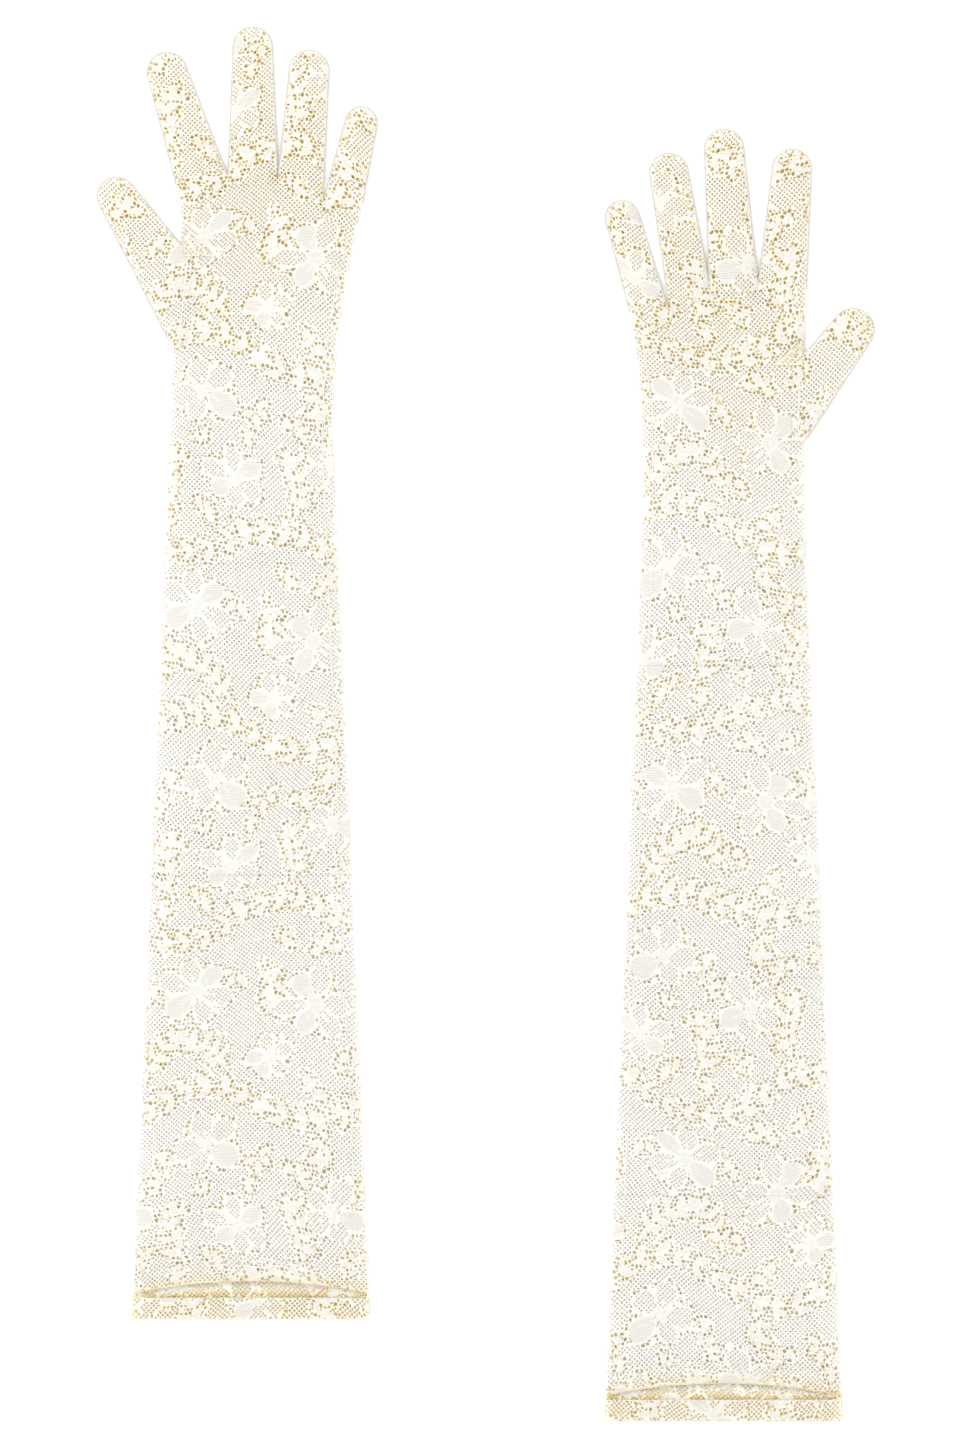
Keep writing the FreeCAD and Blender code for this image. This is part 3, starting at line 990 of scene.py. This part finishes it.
def lace_material():
    """Ivory cotton and nylon lace: fine twisted threads and ribbed petals, with painted gold and brown
    shade inside the tube and at the rims of holes, and painted shade in the grooves between ribs.
    """
    material, tree, shader = cloth_material("floral_lace")
    warm = mark_node(tree, "warm")
    work = mark_node(tree, "work")
    ribbed = mark_node(tree, "ribbed")
    rib = mark_node(tree, "rib")
    wave = maths(tree, "SINE", maths(tree, "MULTIPLY", rib, 2 * math.pi))
    fine = noise(tree, 2600.0)
    broad = noise(tree, 45.0)
    clean = mixed(tree, work, CLEAN_THREAD, WORKED_THREAD)
    colour = mixed(tree, warm, clean, mixed(tree, broad, SHADE_GOLD, PALE_SHADE_GOLD))
    colour = mixed(tree, maths(tree, "SUBTRACT", warm, 1.0), colour, SHADE_BROWN)
    colour = mixed(tree, maths(tree, "MULTIPLY", fine, 0.12), colour, DULL_FIBRE)
    # Painted shade in the grooves between the ribs of petals and leaves
    trough = maths(tree, "SUBTRACT", 0.5, maths(tree, "MULTIPLY", wave, 0.5))
    groove_shade = maths(tree, "MULTIPLY", trough, ribbed)
    colour = mixed(tree, maths(tree, "MULTIPLY", groove_shade, 0.75), colour, GROOVE_SHADE)
    tree.links.new(colour, shader.inputs["Base Color"])
    let_light_through(tree, shader, colour, LIGHT_THROUGH)
    roughened(tree, shader, fine, 0.62, 0.3)
    ridges = maths(tree, "MULTIPLY", maths(tree, "MULTIPLY", wave, ribbed), 0.6)
    bumped(tree, shader, maths(tree, "ADD", fine, ridges), 0.6, 0.15 * MM)
    return material


def seam_material(name, colour, shade):
    """Sewing thread laid close, with a twist along it."""
    material, tree, shader = cloth_material(name)
    fine = noise(tree, 1900.0, 3.0)
    broad = noise(tree, 90.0)
    base = mixed(tree, broad, colour, shade)
    base = mixed(tree, maths(tree, "MULTIPLY", fine, 0.4), base, tuple(0.85 * c for c in shade))
    tree.links.new(base, shader.inputs["Base Color"])
    roughened(tree, shader, fine, 0.55, 0.35)
    bumped(tree, shader, fine, 0.7, 0.12 * MM)
    return material


def floor_material():
    material, tree, shader = cloth_material("pale_table")
    shader.inputs["Sheen Weight"].default_value = 0.0
    shader.inputs["Specular IOR Level"].default_value = 0.1
    mottle = noise(tree, 60.0, 3.0)
    tree.links.new(mixed(tree, mottle, *TABLE), shader.inputs["Base Color"])
    roughened(tree, shader, mottle, 0.8, 0.15)
    bumped(tree, shader, mottle, 0.05, 0.2 * MM)
    return material


# Lace pieces -------------------------------------------------------------------------------------

SECTIONS = ("opening", "elbow", "forearm", "palm")


def section_rides(glove, piece, section):
    """Attach a stretch of sleeve or hand to its body; a stretch between two bodies is only baked in
    place, not bent.
    """
    if section == "opening":
        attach(piece, glove.name("upper_arm"))
    elif section == "forearm":
        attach(piece, glove.name("forearm"))
    else:
        at = glove.elbow if section == "elbow" else 0.0
        bodies = ("upper_arm", "forearm") if section == "elbow" else ("forearm", "hand")
        ends = glove.world(np.array([[0, at - SLEEVE_BEND, 0], [0, at + SLEEVE_BEND, 0]]))
        glove.name(bodies[0])
        glove.name(bodies[1])
        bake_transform(piece)


def digit_rides(glove, piece, digit):
    ends = np.zeros((2, 3))
    for number, distance in enumerate(DIGIT_BEND):
        ends[number, :2] = digit.base + digit.along * distance
    ends = glove.world(ends)
    body = "thumb" if digit.name == "thumb" else f"{digit.name}_finger"
    glove.name("hand")
    glove.name(body)
    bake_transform(piece)


def declare(width, length, area, rests_on):
    """Cap a sheet's flat area at its width times its length. Nothing is kept or declared, and what the
    piece lies on is not used.
    """
    area = min(area, width * length)


def open_ground(motif):
    """One in the open ground round a motif, down to zero in the plain net."""
    return np.where(motif < 0, 0.1, np.clip(1.1 - motif / CELL_REACH, 0, 1))


def motif_above(tile, cloth, shift, phase):
    """How far the upper layer is from a motif, over each point of the lower layer."""
    x = cloth.x
    y = cloth.y
    for _ in range(3):
        drift_x, drift_y = drift(x, y, phase)
        x = cloth.x - drift_x
        y = cloth.y - drift_y
    row = np.rint(y / STEP).astype(int) + shift[1]
    column = np.rint(x / STEP).astype(int) + shift[0]
    return tile.motif[row % TILE_ROWS, column % TILE_COLUMNS]


def woven(glove, tile, cloth, inside, height, warm, rims):
    """Weave a layer out to its edges and share it out among the pieces."""
    cloth.field = bordered(cloth, inside, LAYER_BORDER)
    cloth.inside = inside
    cloth.mesh = weave(cloth.field, grid_values(tile, cloth, height, warm, rims))
    cloth.parts = cut_pieces(glove, cloth.mesh, cloth.x, cloth.y)
    return cloth


def upper_layer(glove, tile, shift, phase):
    """The upper layer of a glove's lace tube, as a Cloth with its grid."""
    cloth = lay_lace(glove, tile, shift, mirrored=False, diagonal=False, phase=phase)
    above = cloth.y - upper_edge(glove, cloth.x)
    inside = np.minimum(cloth.distance, above)
    height = upper_height(glove, cloth.x, cloth.y, cloth.distance, phase)
    above = np.maximum(above, 0)
    # Painted shade along the upper layer's edge at the opening, on the threads and at the rims of the
    # holes
    warm = EDGE_SHADE * np.exp(-above / EDGE_SHADE_REACH)
    edge_rim_shade = EDGE_RIM_SHADE * np.exp(-above / EDGE_RIM_SHADE_REACH)
    rims = np.maximum(rim_shade(glove, tile, cloth), edge_rim_shade)
    return woven(glove, tile, cloth, inside, height, warm, rims)


def lower_layer(glove, tile, upper_shift, upper_phase):
    """The lower layer, whose lace is turned by 45 degrees, with painted shade, and painted shadow
    where the hem leaves it bare.
    """
    shift = (upper_shift[0] + LOWER_SHIFT[0], upper_shift[1] + LOWER_SHIFT[1])
    phase = upper_phase + LOWER_PHASE
    cloth = lay_lace(glove, tile, shift, mirrored=True, diagonal=True, phase=phase)
    inside = np.minimum(cloth.distance, cloth.y - glove.opening)
    height = lower_height(cloth.distance)
    warm = lower_layer_shade(glove, cloth)
    # Painted shade on the lower layer where it shows through the open ground of the upper one
    warm = warm + SHADE_UNDER_HOLES * open_ground(motif_above(tile, cloth, upper_shift, upper_phase))
    # Painted shadow where the upper layer ends short of the hem: a dark row of thread just above the
    # turned-in hem, and dark hole rims fading upwards
    above = cloth.y - glove.opening - HEM_DEPTH
    bare = (cloth.y < upper_edge(glove, cloth.x)) & (above > -1 * MM)
    row = np.exp(-(((above - 0.5 * MM) / SHADOW_ROW) ** 2))
    uneven = 1.1 + 0.7 * ripple(2 * cloth.x, cloth.y, 1.0)
    beside_hole = cloth.thread < 0.2 * MM
    warm = np.where(bare, BARE_SHADE + uneven * row * beside_hole, warm)
    shadow_rims = np.clip(DARKEST_SHADE - above / SHADOW_REACH, SHADOW_LEAST, DARKEST_SHADE)
    rims = np.where(bare, shadow_rims, np.maximum(warm, rim_shade(glove, tile, cloth)))
    return woven(glove, tile, cloth, inside, height, warm, rims)


def lower_layer_shade(glove, cloth):
    """Painted shade on the lower layer: warmer in the hand and at the opening, where more lace lies
    together.
    """
    hand = np.clip((cloth.y + 30 * MM) / (150 * MM), 0, 1)
    opening = np.clip((glove.opening + 24 * MM - cloth.y) / (16 * MM), 0, 1)
    return 0.1 + 0.38 * np.maximum(hand ** 1.5, opening)


def rim_shade(glove, tile, cloth):
    """Painted warm light and shade at the rims of holes: in the open ground round the leaves and in
    the fingers, and darkest where two fingers meet.
    """
    motif = tile.motif[cloth.pick]
    near_motif = open_ground(motif)
    hand = np.clip((cloth.y - 30 * MM) / (70 * MM), 0, 1)
    patches = 0.65 + 0.45 * ripple(cloth.x, cloth.y, 5.0)
    warm = np.clip(patches * (0.1 + 0.9 * near_motif) + hand * (0.28 + 0.72 * near_motif), 0, 1)
    # Painted shade, darkest where two fingers meet
    fingers = [glove.digits[finger].outline for finger in FINGERS]
    for first, second in zip(fingers[:-1], fingers[1:]):
        gaps = [(np.linalg.norm(a - b), a, b) for a in first[[0, -1]] for b in second[[0, -1]]]
        _, a, b = min(gaps, key=lambda gap: gap[0])
        away = np.hypot(cloth.x - (a[0] + b[0]) / 2, cloth.y - (a[1] + b[1]) / 2)
        warm = np.maximum(warm, DARKEST_SHADE * np.exp(-((away / PUCKER_SHADE_REACH) ** 2)))
    return warm


def piece_areas(glove, cloth, square):
    """Flat area of each piece, holes and all: the grid squares inside the outline it owns."""
    owner = owners(glove, cloth.x, cloth.y).reshape(cloth.x.shape)
    keys, counts = np.unique(owner[cloth.inside > 0], return_counts=True)
    return {int(key): float(count) * square for key, count in zip(keys, counts)}


def build_lace(glove, tile, materials, phase):
    shift = RIGHT_SHIFT if glove.side == "right" else (0, 0)
    upper = upper_layer(glove, tile, shift, phase)
    lower = lower_layer(glove, tile, shift, phase)
    upper.area = piece_areas(glove, upper, STEP * STEP)
    lower.area = piece_areas(glove, lower, 2 * STEP * STEP)
    lace = materials["lace"]
    for number, digit in enumerate(glove.digits.values()):
        points = np.vstack([upper.mesh.points, lower.mesh.points])
        marks = np.vstack([upper.mesh.marks, lower.mesh.marks])
        step = len(upper.mesh.points)
        triangles = np.vstack([upper.parts[number], lower.parts[number] + step])
        top_walls = cut_walls(upper.parts[number], upper.mesh.twin)
        under_walls = cut_walls(lower.parts[number], lower.mesh.twin) + step
        walls = np.vstack([top_walls, under_walls])
        name = glove.name(f"{digit.node}_lace")
        piece = mesh_piece(glove, name, points, triangles, marks, lace, walls)
        area = upper.area[number] + lower.area[number]
        width = 4 * digit.half_width
        declare(width, max(digit.length + DIGIT_OVERLAP, area / width), area, ["pale_table"])
        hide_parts(glove.name(digit.node))
        digit_rides(glove, piece, digit)
    nodes = {"opening": "upper_arm_sleeve", "forearm": "forearm_sleeve", "palm": "hand"}
    for layer, kind in ((lower, "lower"), (upper, "upper")):
        for number, section in enumerate(SECTIONS):
            key = FIRST_SECTION + number
            name = glove.name(f"{section}_{kind}_lace")
            walls = cut_walls(layer.parts[key], layer.mesh.twin)
            piece = mesh_piece(
                glove, name, layer.mesh.points, layer.parts[key], layer.mesh.marks, lace, walls
            )
            low, high = ([glove.opening] + glove.cuts + [glove.heights[-1]])[number : number + 2]
            length = high - low
            area = layer.area[key]
            width = max(np.interp([low, high], glove.heights, glove.right_side - glove.left_side))
            width = max(width, area / length)
            under = "pale_table" if kind == "lower" else glove.name(f"{section}_lower_lace")
            declare(width, length, area, [under])
            if kind == "upper" and section in nodes:
                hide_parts(glove.name(nodes[section]))
            section_rides(glove, piece, section)


# Hem, seams and stitches -------------------------------------------------------------------------

def build_hem(glove, tile, materials, phase):
    """The lace turned in at the opening, under the upper layer and on the lower one."""
    shapes = []
    marks = []
    faces = []
    area = 0.0
    count = 0
    for upper in (True, False):
        shift = HEM_UPPER_SHIFT if upper else HEM_LOWER_SHIFT
        corners = ((-60 * MM, glove.opening), (60 * MM, glove.opening + 3 * HEM_DEPTH))
        cloth = lay_lace(glove, tile, shift, upper, False, phase + 2, *corners)
        start = upper_edge(glove, cloth.x) if upper else glove.opening
        inside = np.minimum(cloth.distance - 0.5 * MM, cloth.y - start - 0.2 * MM)
        inside = np.minimum(inside, start + HEM_DEPTH - cloth.y)
        if upper:
            height = upper_height(glove, cloth.x, cloth.y, cloth.distance, phase) - HEM_GAP
        else:
            height = lower_height(cloth.distance) + HEM_GAP
        cloth.field = bordered(cloth, inside, PATCH_BORDER)
        rise = np.clip((cloth.y - start) / HEM_DEPTH, 0, 1)
        # Painted shade on the turned-in hem: on the part under the upper layer, most near the fold,
        # and at the rims of the holes of both parts
        warm = 0.2 - 0.16 * rise if upper else 0.02
        mesh = weave(cloth.field, grid_values(tile, cloth, height, warm, 0.8))
        shapes.append(mesh.points)
        marks.append(mesh.marks)
        faces.append(mesh.triangles + count)
        count += len(mesh.points)
        area += float((inside > 0).sum()) * STEP * STEP
    points = np.vstack(shapes)
    name = glove.name("turned_in_hem")
    piece = mesh_piece(glove, name, points, np.vstack(faces), np.vstack(marks), materials["lace"])
    declare(area / HEM_DEPTH, HEM_DEPTH, area, [glove.name("opening_lower_lace")])
    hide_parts(glove.name("hem_band"))
    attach(piece, glove.name("upper_arm"))


def resampled(path, spacing):
    """Evenly spaced points along a path, and how far along it each one is."""
    steps = np.linalg.norm(np.diff(path, axis=0), axis=1)
    travelled = np.concatenate([[0], np.cumsum(steps)])
    count = max(int(travelled[-1] / spacing), 2)
    at = np.linspace(0, travelled[-1], count + 1)
    even = [np.interp(at, travelled, path[:, k]) for k in range(path.shape[1])]
    return np.stack(even, axis=1), at


def bead(path, width, height, swell, pitch):
    """Points and squares of a rounded bead along a path, swelling a little at each stitch."""
    path, travelled = resampled(path, BEAD_STEP)
    run = np.gradient(path, axis=0)
    run /= np.linalg.norm(run, axis=1)[:, None]
    side = np.stack([-run[:, 1], run[:, 0], np.zeros(len(run))], axis=1)
    side /= np.maximum(np.linalg.norm(side, axis=1), 1e-9)[:, None]
    upward = np.cross(run, side)
    scale = 1 + swell * np.cos(2 * math.pi * travelled / pitch)
    from_end = np.minimum(travelled, travelled[-1] - travelled)
    taper = np.minimum(1, from_end / BEAD_TAPER + 0.15)
    around = BEAD_SIDES
    rings = []
    for number in range(around):
        angle = 2 * math.pi * number / around
        lean = side * (width / 2 * math.cos(angle)) + upward * (height / 2 * math.sin(angle))
        rings.append(path + lean * (scale * taper)[:, None])
    points = np.stack(rings, axis=1).reshape(-1, 3)
    ring = np.arange(len(path) - 1)[:, None] * around
    k = np.arange(around)[None, :]
    following = (k + 1) % around
    beyond = ring + around
    squares = np.stack([ring + k, ring + following, beyond + following, beyond + k], axis=-1)
    squares = squares.reshape(-1, 4)
    last = (len(path) - 1) * around
    ends = []
    for start, order in ((0, (3, 2, 1, 0)), (last, (0, 1, 2, 3))):
        for quad in ((0, 1, 2, 3), (0, 3, 4, 7), (7, 4, 5, 6)):
            ends.append([start + quad[k] for k in order])
    return points, np.vstack([squares, np.array(ends)])


def strip_path(glove, node, spacing):
    """The middle line of a seam node that runs along the glove."""
    low, high = reach_of_node(glove, node)
    rows = np.linspace(low, high, max(int((high - low) / spacing), 2))
    spans = across_node(glove, node, rows)
    return np.stack([spans.mean(axis=1), rows], axis=1)


def on_upper(glove, flat, lift, phase):
    """Flat points lifted a given height over the upper layer."""
    distance = edge_distance(glove, flat)
    height = upper_height(glove, flat[:, 0], flat[:, 1], distance, phase) + lift
    return np.column_stack([flat, height])


def on_lower(glove, flat, lift, phase):
    """The same on the lower layer, where the phase makes no difference."""
    height = lower_height(edge_distance(glove, flat)) + lift
    return np.column_stack([flat, height])


def join_shapes(shapes):
    """Several shapes, each points and faces, as one."""
    points = []
    faces = []
    count = 0
    for shape_points, shape_faces in shapes:
        points.append(shape_points)
        faces.append(shape_faces + count)
        count += len(shape_points)
    return np.vstack(points), np.vstack(faces)


def build_side_seams(glove, materials, phase):
    """The seam that closes the tube. It has rolled a little way in from the little-finger edge."""
    nodes = ("upper_arm_side_seam", "forearm_side_seam", "hand_side_seam")
    path = np.vstack([strip_path(glove, node, 3 * MM) for node in nodes])
    bounds = [path[0, 1]] + glove.cuts + [path[-1, 1]]
    stands_for = {"opening": nodes[0], "forearm": nodes[1], "palm": nodes[2]}
    for number, section in enumerate(SECTIONS):
        rows = np.arange(bounds[number], bounds[number + 1], 1.0 * MM)
        rows = np.append(rows, bounds[number + 1])
        flat = np.stack([np.interp(rows, path[:, 1], path[:, 0]), rows], axis=1)
        line = on_upper(glove, flat, 0.05 * MM, phase)
        points, faces = bead(line, SEAM_WIDTH, 0.5 * MM, 0.14, 1.5 * MM)
        name = glove.name(f"{section}_side_seam_thread")
        piece = mesh_piece(glove, name, points, faces, None, materials["seam"])
        if section in stands_for:
            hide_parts(glove.name(stands_for[section]))
        section_rides(glove, piece, section)


def build_digit_seams(glove, materials):
    """The seam round each finger and the thumb, on its edge."""
    for digit in glove.digits.values():
        line = digit.outline
        travelled = (line - digit.base) @ digit.along
        flat = line[travelled > 0.2 * MM]
        ends = []
        for corner, neighbour in ((line[0], line[1]), (line[-1], line[-2])):
            reach = (neighbour - digit.base) @ digit.along
            ends.append(corner + (neighbour - corner) * min(0.5, 1.5 * MM / reach))
        flat = np.vstack([ends[0], flat[1:-1] if travelled[0] > 0.2 * MM else flat, ends[1]])
        line = np.column_stack([flat, np.full(len(flat), EDGE_HEIGHT)])
        points, faces = bead(line, 0.6 * MM, 1.0 * MM, 0.12, 1.4 * MM)
        name = glove.name(f"{digit.name}_seam_thread")
        piece = mesh_piece(glove, name, points, faces, None, materials["edge"])
        node = "thumb_seam" if digit.name == "thumb" else f"{digit.name}_finger_seam"
        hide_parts(glove.name(node))
        digit_rides(glove, piece, digit)


def build_thumb_seam(glove, materials, phase):
    """The seam that sets the thumb into the palm."""
    flat = strip_path(glove, "thumb_set_in_seam", 2 * MM)
    line = on_upper(glove, flat, 0.1 * MM, phase)
    points, faces = bead(line, 0.7 * MM, 0.55 * MM, 0.12, 1.3 * MM)
    name = glove.name("thumb_set_in_seam_thread")
    piece = mesh_piece(glove, name, points, faces, None, materials["seam"])
    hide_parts(glove.name("thumb_set_in_seam"))
    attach(piece, glove.name("hand"))


def build_quirk(glove, tile, materials, phase):
    """The folded triangle of lace at the crotch of the thumb."""
    corners = hull(glove.local(node_points(glove.name("thumb_quirk"))))
    ends = (corners.min(axis=0), corners.max(axis=0))
    cloth = lay_lace(glove, tile, QUIRK_SHIFT, True, False, phase + 4, *ends)
    inside = cloth.distance
    for start, end in zip(corners, np.roll(corners, -1, axis=0)):
        run = (end - start) / np.linalg.norm(end - start)
        side = run[0] * (cloth.y - start[1]) - run[1] * (cloth.x - start[0])
        inside = np.minimum(inside, side)
    cloth.field = bordered(cloth, inside, PATCH_BORDER)
    height = upper_height(glove, cloth.x, cloth.y, cloth.distance, phase) + 0.5 * MM
    # Painted shade on the folded triangle and at the rims of its holes
    mesh = weave(cloth.field, grid_values(tile, cloth, height, 0.12, 0.6))
    name = glove.name("thumb_quirk_lace")
    piece = mesh_piece(glove, name, mesh.points, mesh.triangles, mesh.marks, materials["lace"])
    area = float((inside > 0).sum()) * STEP * STEP
    size = corners.max(axis=0) - corners.min(axis=0)
    declare(float(size[0]), float(size[1]), area, [glove.name("palm_upper_lace")])
    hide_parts(glove.name("thumb_quirk"))
    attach(piece, glove.name("hand"))


def stitches_along(line):
    """Separate stitches, one after another, along a line."""
    line, travelled = resampled(line, 0.25 * MM)
    pace = STITCH_LENGTH + STITCH_GAP
    stitches = []
    for number in range(int(travelled[-1] / pace)):
        chosen = (travelled >= number * pace) & (travelled <= number * pace + STITCH_LENGTH)
        stitches.append(bead(line[chosen], 0.5 * MM, 0.4 * MM, 0.0, 1 * MM))
    return stitches


def build_stitching(glove, materials, phase):
    """Two lines of stitches that hold the hem, and the rolled folds of its two edges."""
    half = np.interp(glove.opening, glove.heights, glove.right_side) - 3 * MM
    x = np.linspace(-half, half, 220)
    lower_edge = np.full(len(x), glove.opening + 0.2 * MM)
    stitches = []
    folds = []
    for edge, laid_on, stitch_lift, fold_lift in (
        (upper_edge(glove, x), on_upper, 0.35 * MM, -0.45 * MM),
        (lower_edge, on_lower, HEM_GAP + 0.3 * MM, HEM_GAP / 2),
    ):
        sewn = np.stack([x, edge + HEM_DEPTH - STITCH_INSET], axis=1)
        stitches += stitches_along(laid_on(glove, sewn, stitch_lift, phase))
        folded = np.stack([x, edge + 0.15 * MM], axis=1)
        folded = laid_on(glove, folded, fold_lift, phase)
        folds.append(bead(folded, 0.6 * MM, 0.8 * MM, 0.1, 1.7 * MM))
    points, faces = join_shapes(stitches)
    piece = mesh_piece(glove, glove.name("hem_stitches"), points, faces, None, materials["seam"])
    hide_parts(glove.name("hem_stitching"))
    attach(piece, glove.name("upper_arm"))
    points, faces = join_shapes(folds)
    piece = mesh_piece(glove, glove.name("hem_folds"), points, faces, None, materials["fold"])
    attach(piece, glove.name("upper_arm"))


# Table, light and camera -------------------------------------------------------------------------

def build_floor():
    mesh = bpy.data.meshes.new("pale_table")
    half = 6.0
    corners = [(-half, -half, 0), (half, -half, 0), (half, half, 0), (-half, half, 0)]
    mesh.from_pydata(corners, [], [(0, 1, 2, 3)])
    mesh.materials.append(floor_material())
    floor = bpy.data.objects.new("pale_table", mesh)
    bpy.context.scene.collection.objects.link(floor)


def add_area_light(name, place, aim, size, power):
    light = bpy.data.lights.new(name, "AREA")
    light.shape = "SQUARE"
    light.size = size
    light.energy = power
    lamp = bpy.data.objects.new(name, light)
    bpy.context.scene.collection.objects.link(lamp)
    lamp.location = place
    lamp.rotation_euler = (Vector(aim) - Vector(place)).to_track_quat("-Z", "Y").to_euler()


def build_light():
    scene = bpy.context.scene
    scene.view_settings.view_transform = "Standard"
    world = bpy.data.worlds.new("studio")
    world.use_nodes = True
    background = world.node_tree.nodes["Background"]
    background.inputs["Color"].default_value = (1, 1, 1, 1)
    background.inputs["Strength"].default_value = WORLD_STRENGTH
    scene.world = world
    add_area_light("soft_key", KEY_PLACE, (0, 0, 0), KEY_SIZE, KEY_POWER)


def build_camera():
    data = bpy.data.cameras.new("camera")
    data.sensor_width = SENSOR
    data.lens = SENSOR * CAMERA_HEIGHT / VIEW_LENGTH
    camera = bpy.data.objects.new("camera", data)
    bpy.context.scene.collection.objects.link(camera)
    camera.location = (*VIEW_CENTRE, CAMERA_HEIGHT)
    bpy.context.scene.camera = camera


def main():
    build_camera()
    build_light()
    build_floor()
    materials = {
        "lace": lace_material(),
        "seam": seam_material("seam_thread", *SEAM_THREAD),
        "edge": seam_material("finger_seam_thread", *SHADED_FINGER_SEAM_THREAD),
        "fold": seam_material("hem_lace", *SHADED_HEM_FOLD),
    }
    tile = make_tile()
    for number, side in enumerate(SIDES):
        glove = read_glove(side)
        phase = 0.7 + 1.9 * number
        build_lace(glove, tile, materials, phase)
        build_hem(glove, tile, materials, phase)
        build_side_seams(glove, materials, phase)
        build_digit_seams(glove, materials)
        build_thumb_seam(glove, materials, phase)
        build_quirk(glove, tile, materials, phase)
        build_stitching(glove, materials, phase)


main()
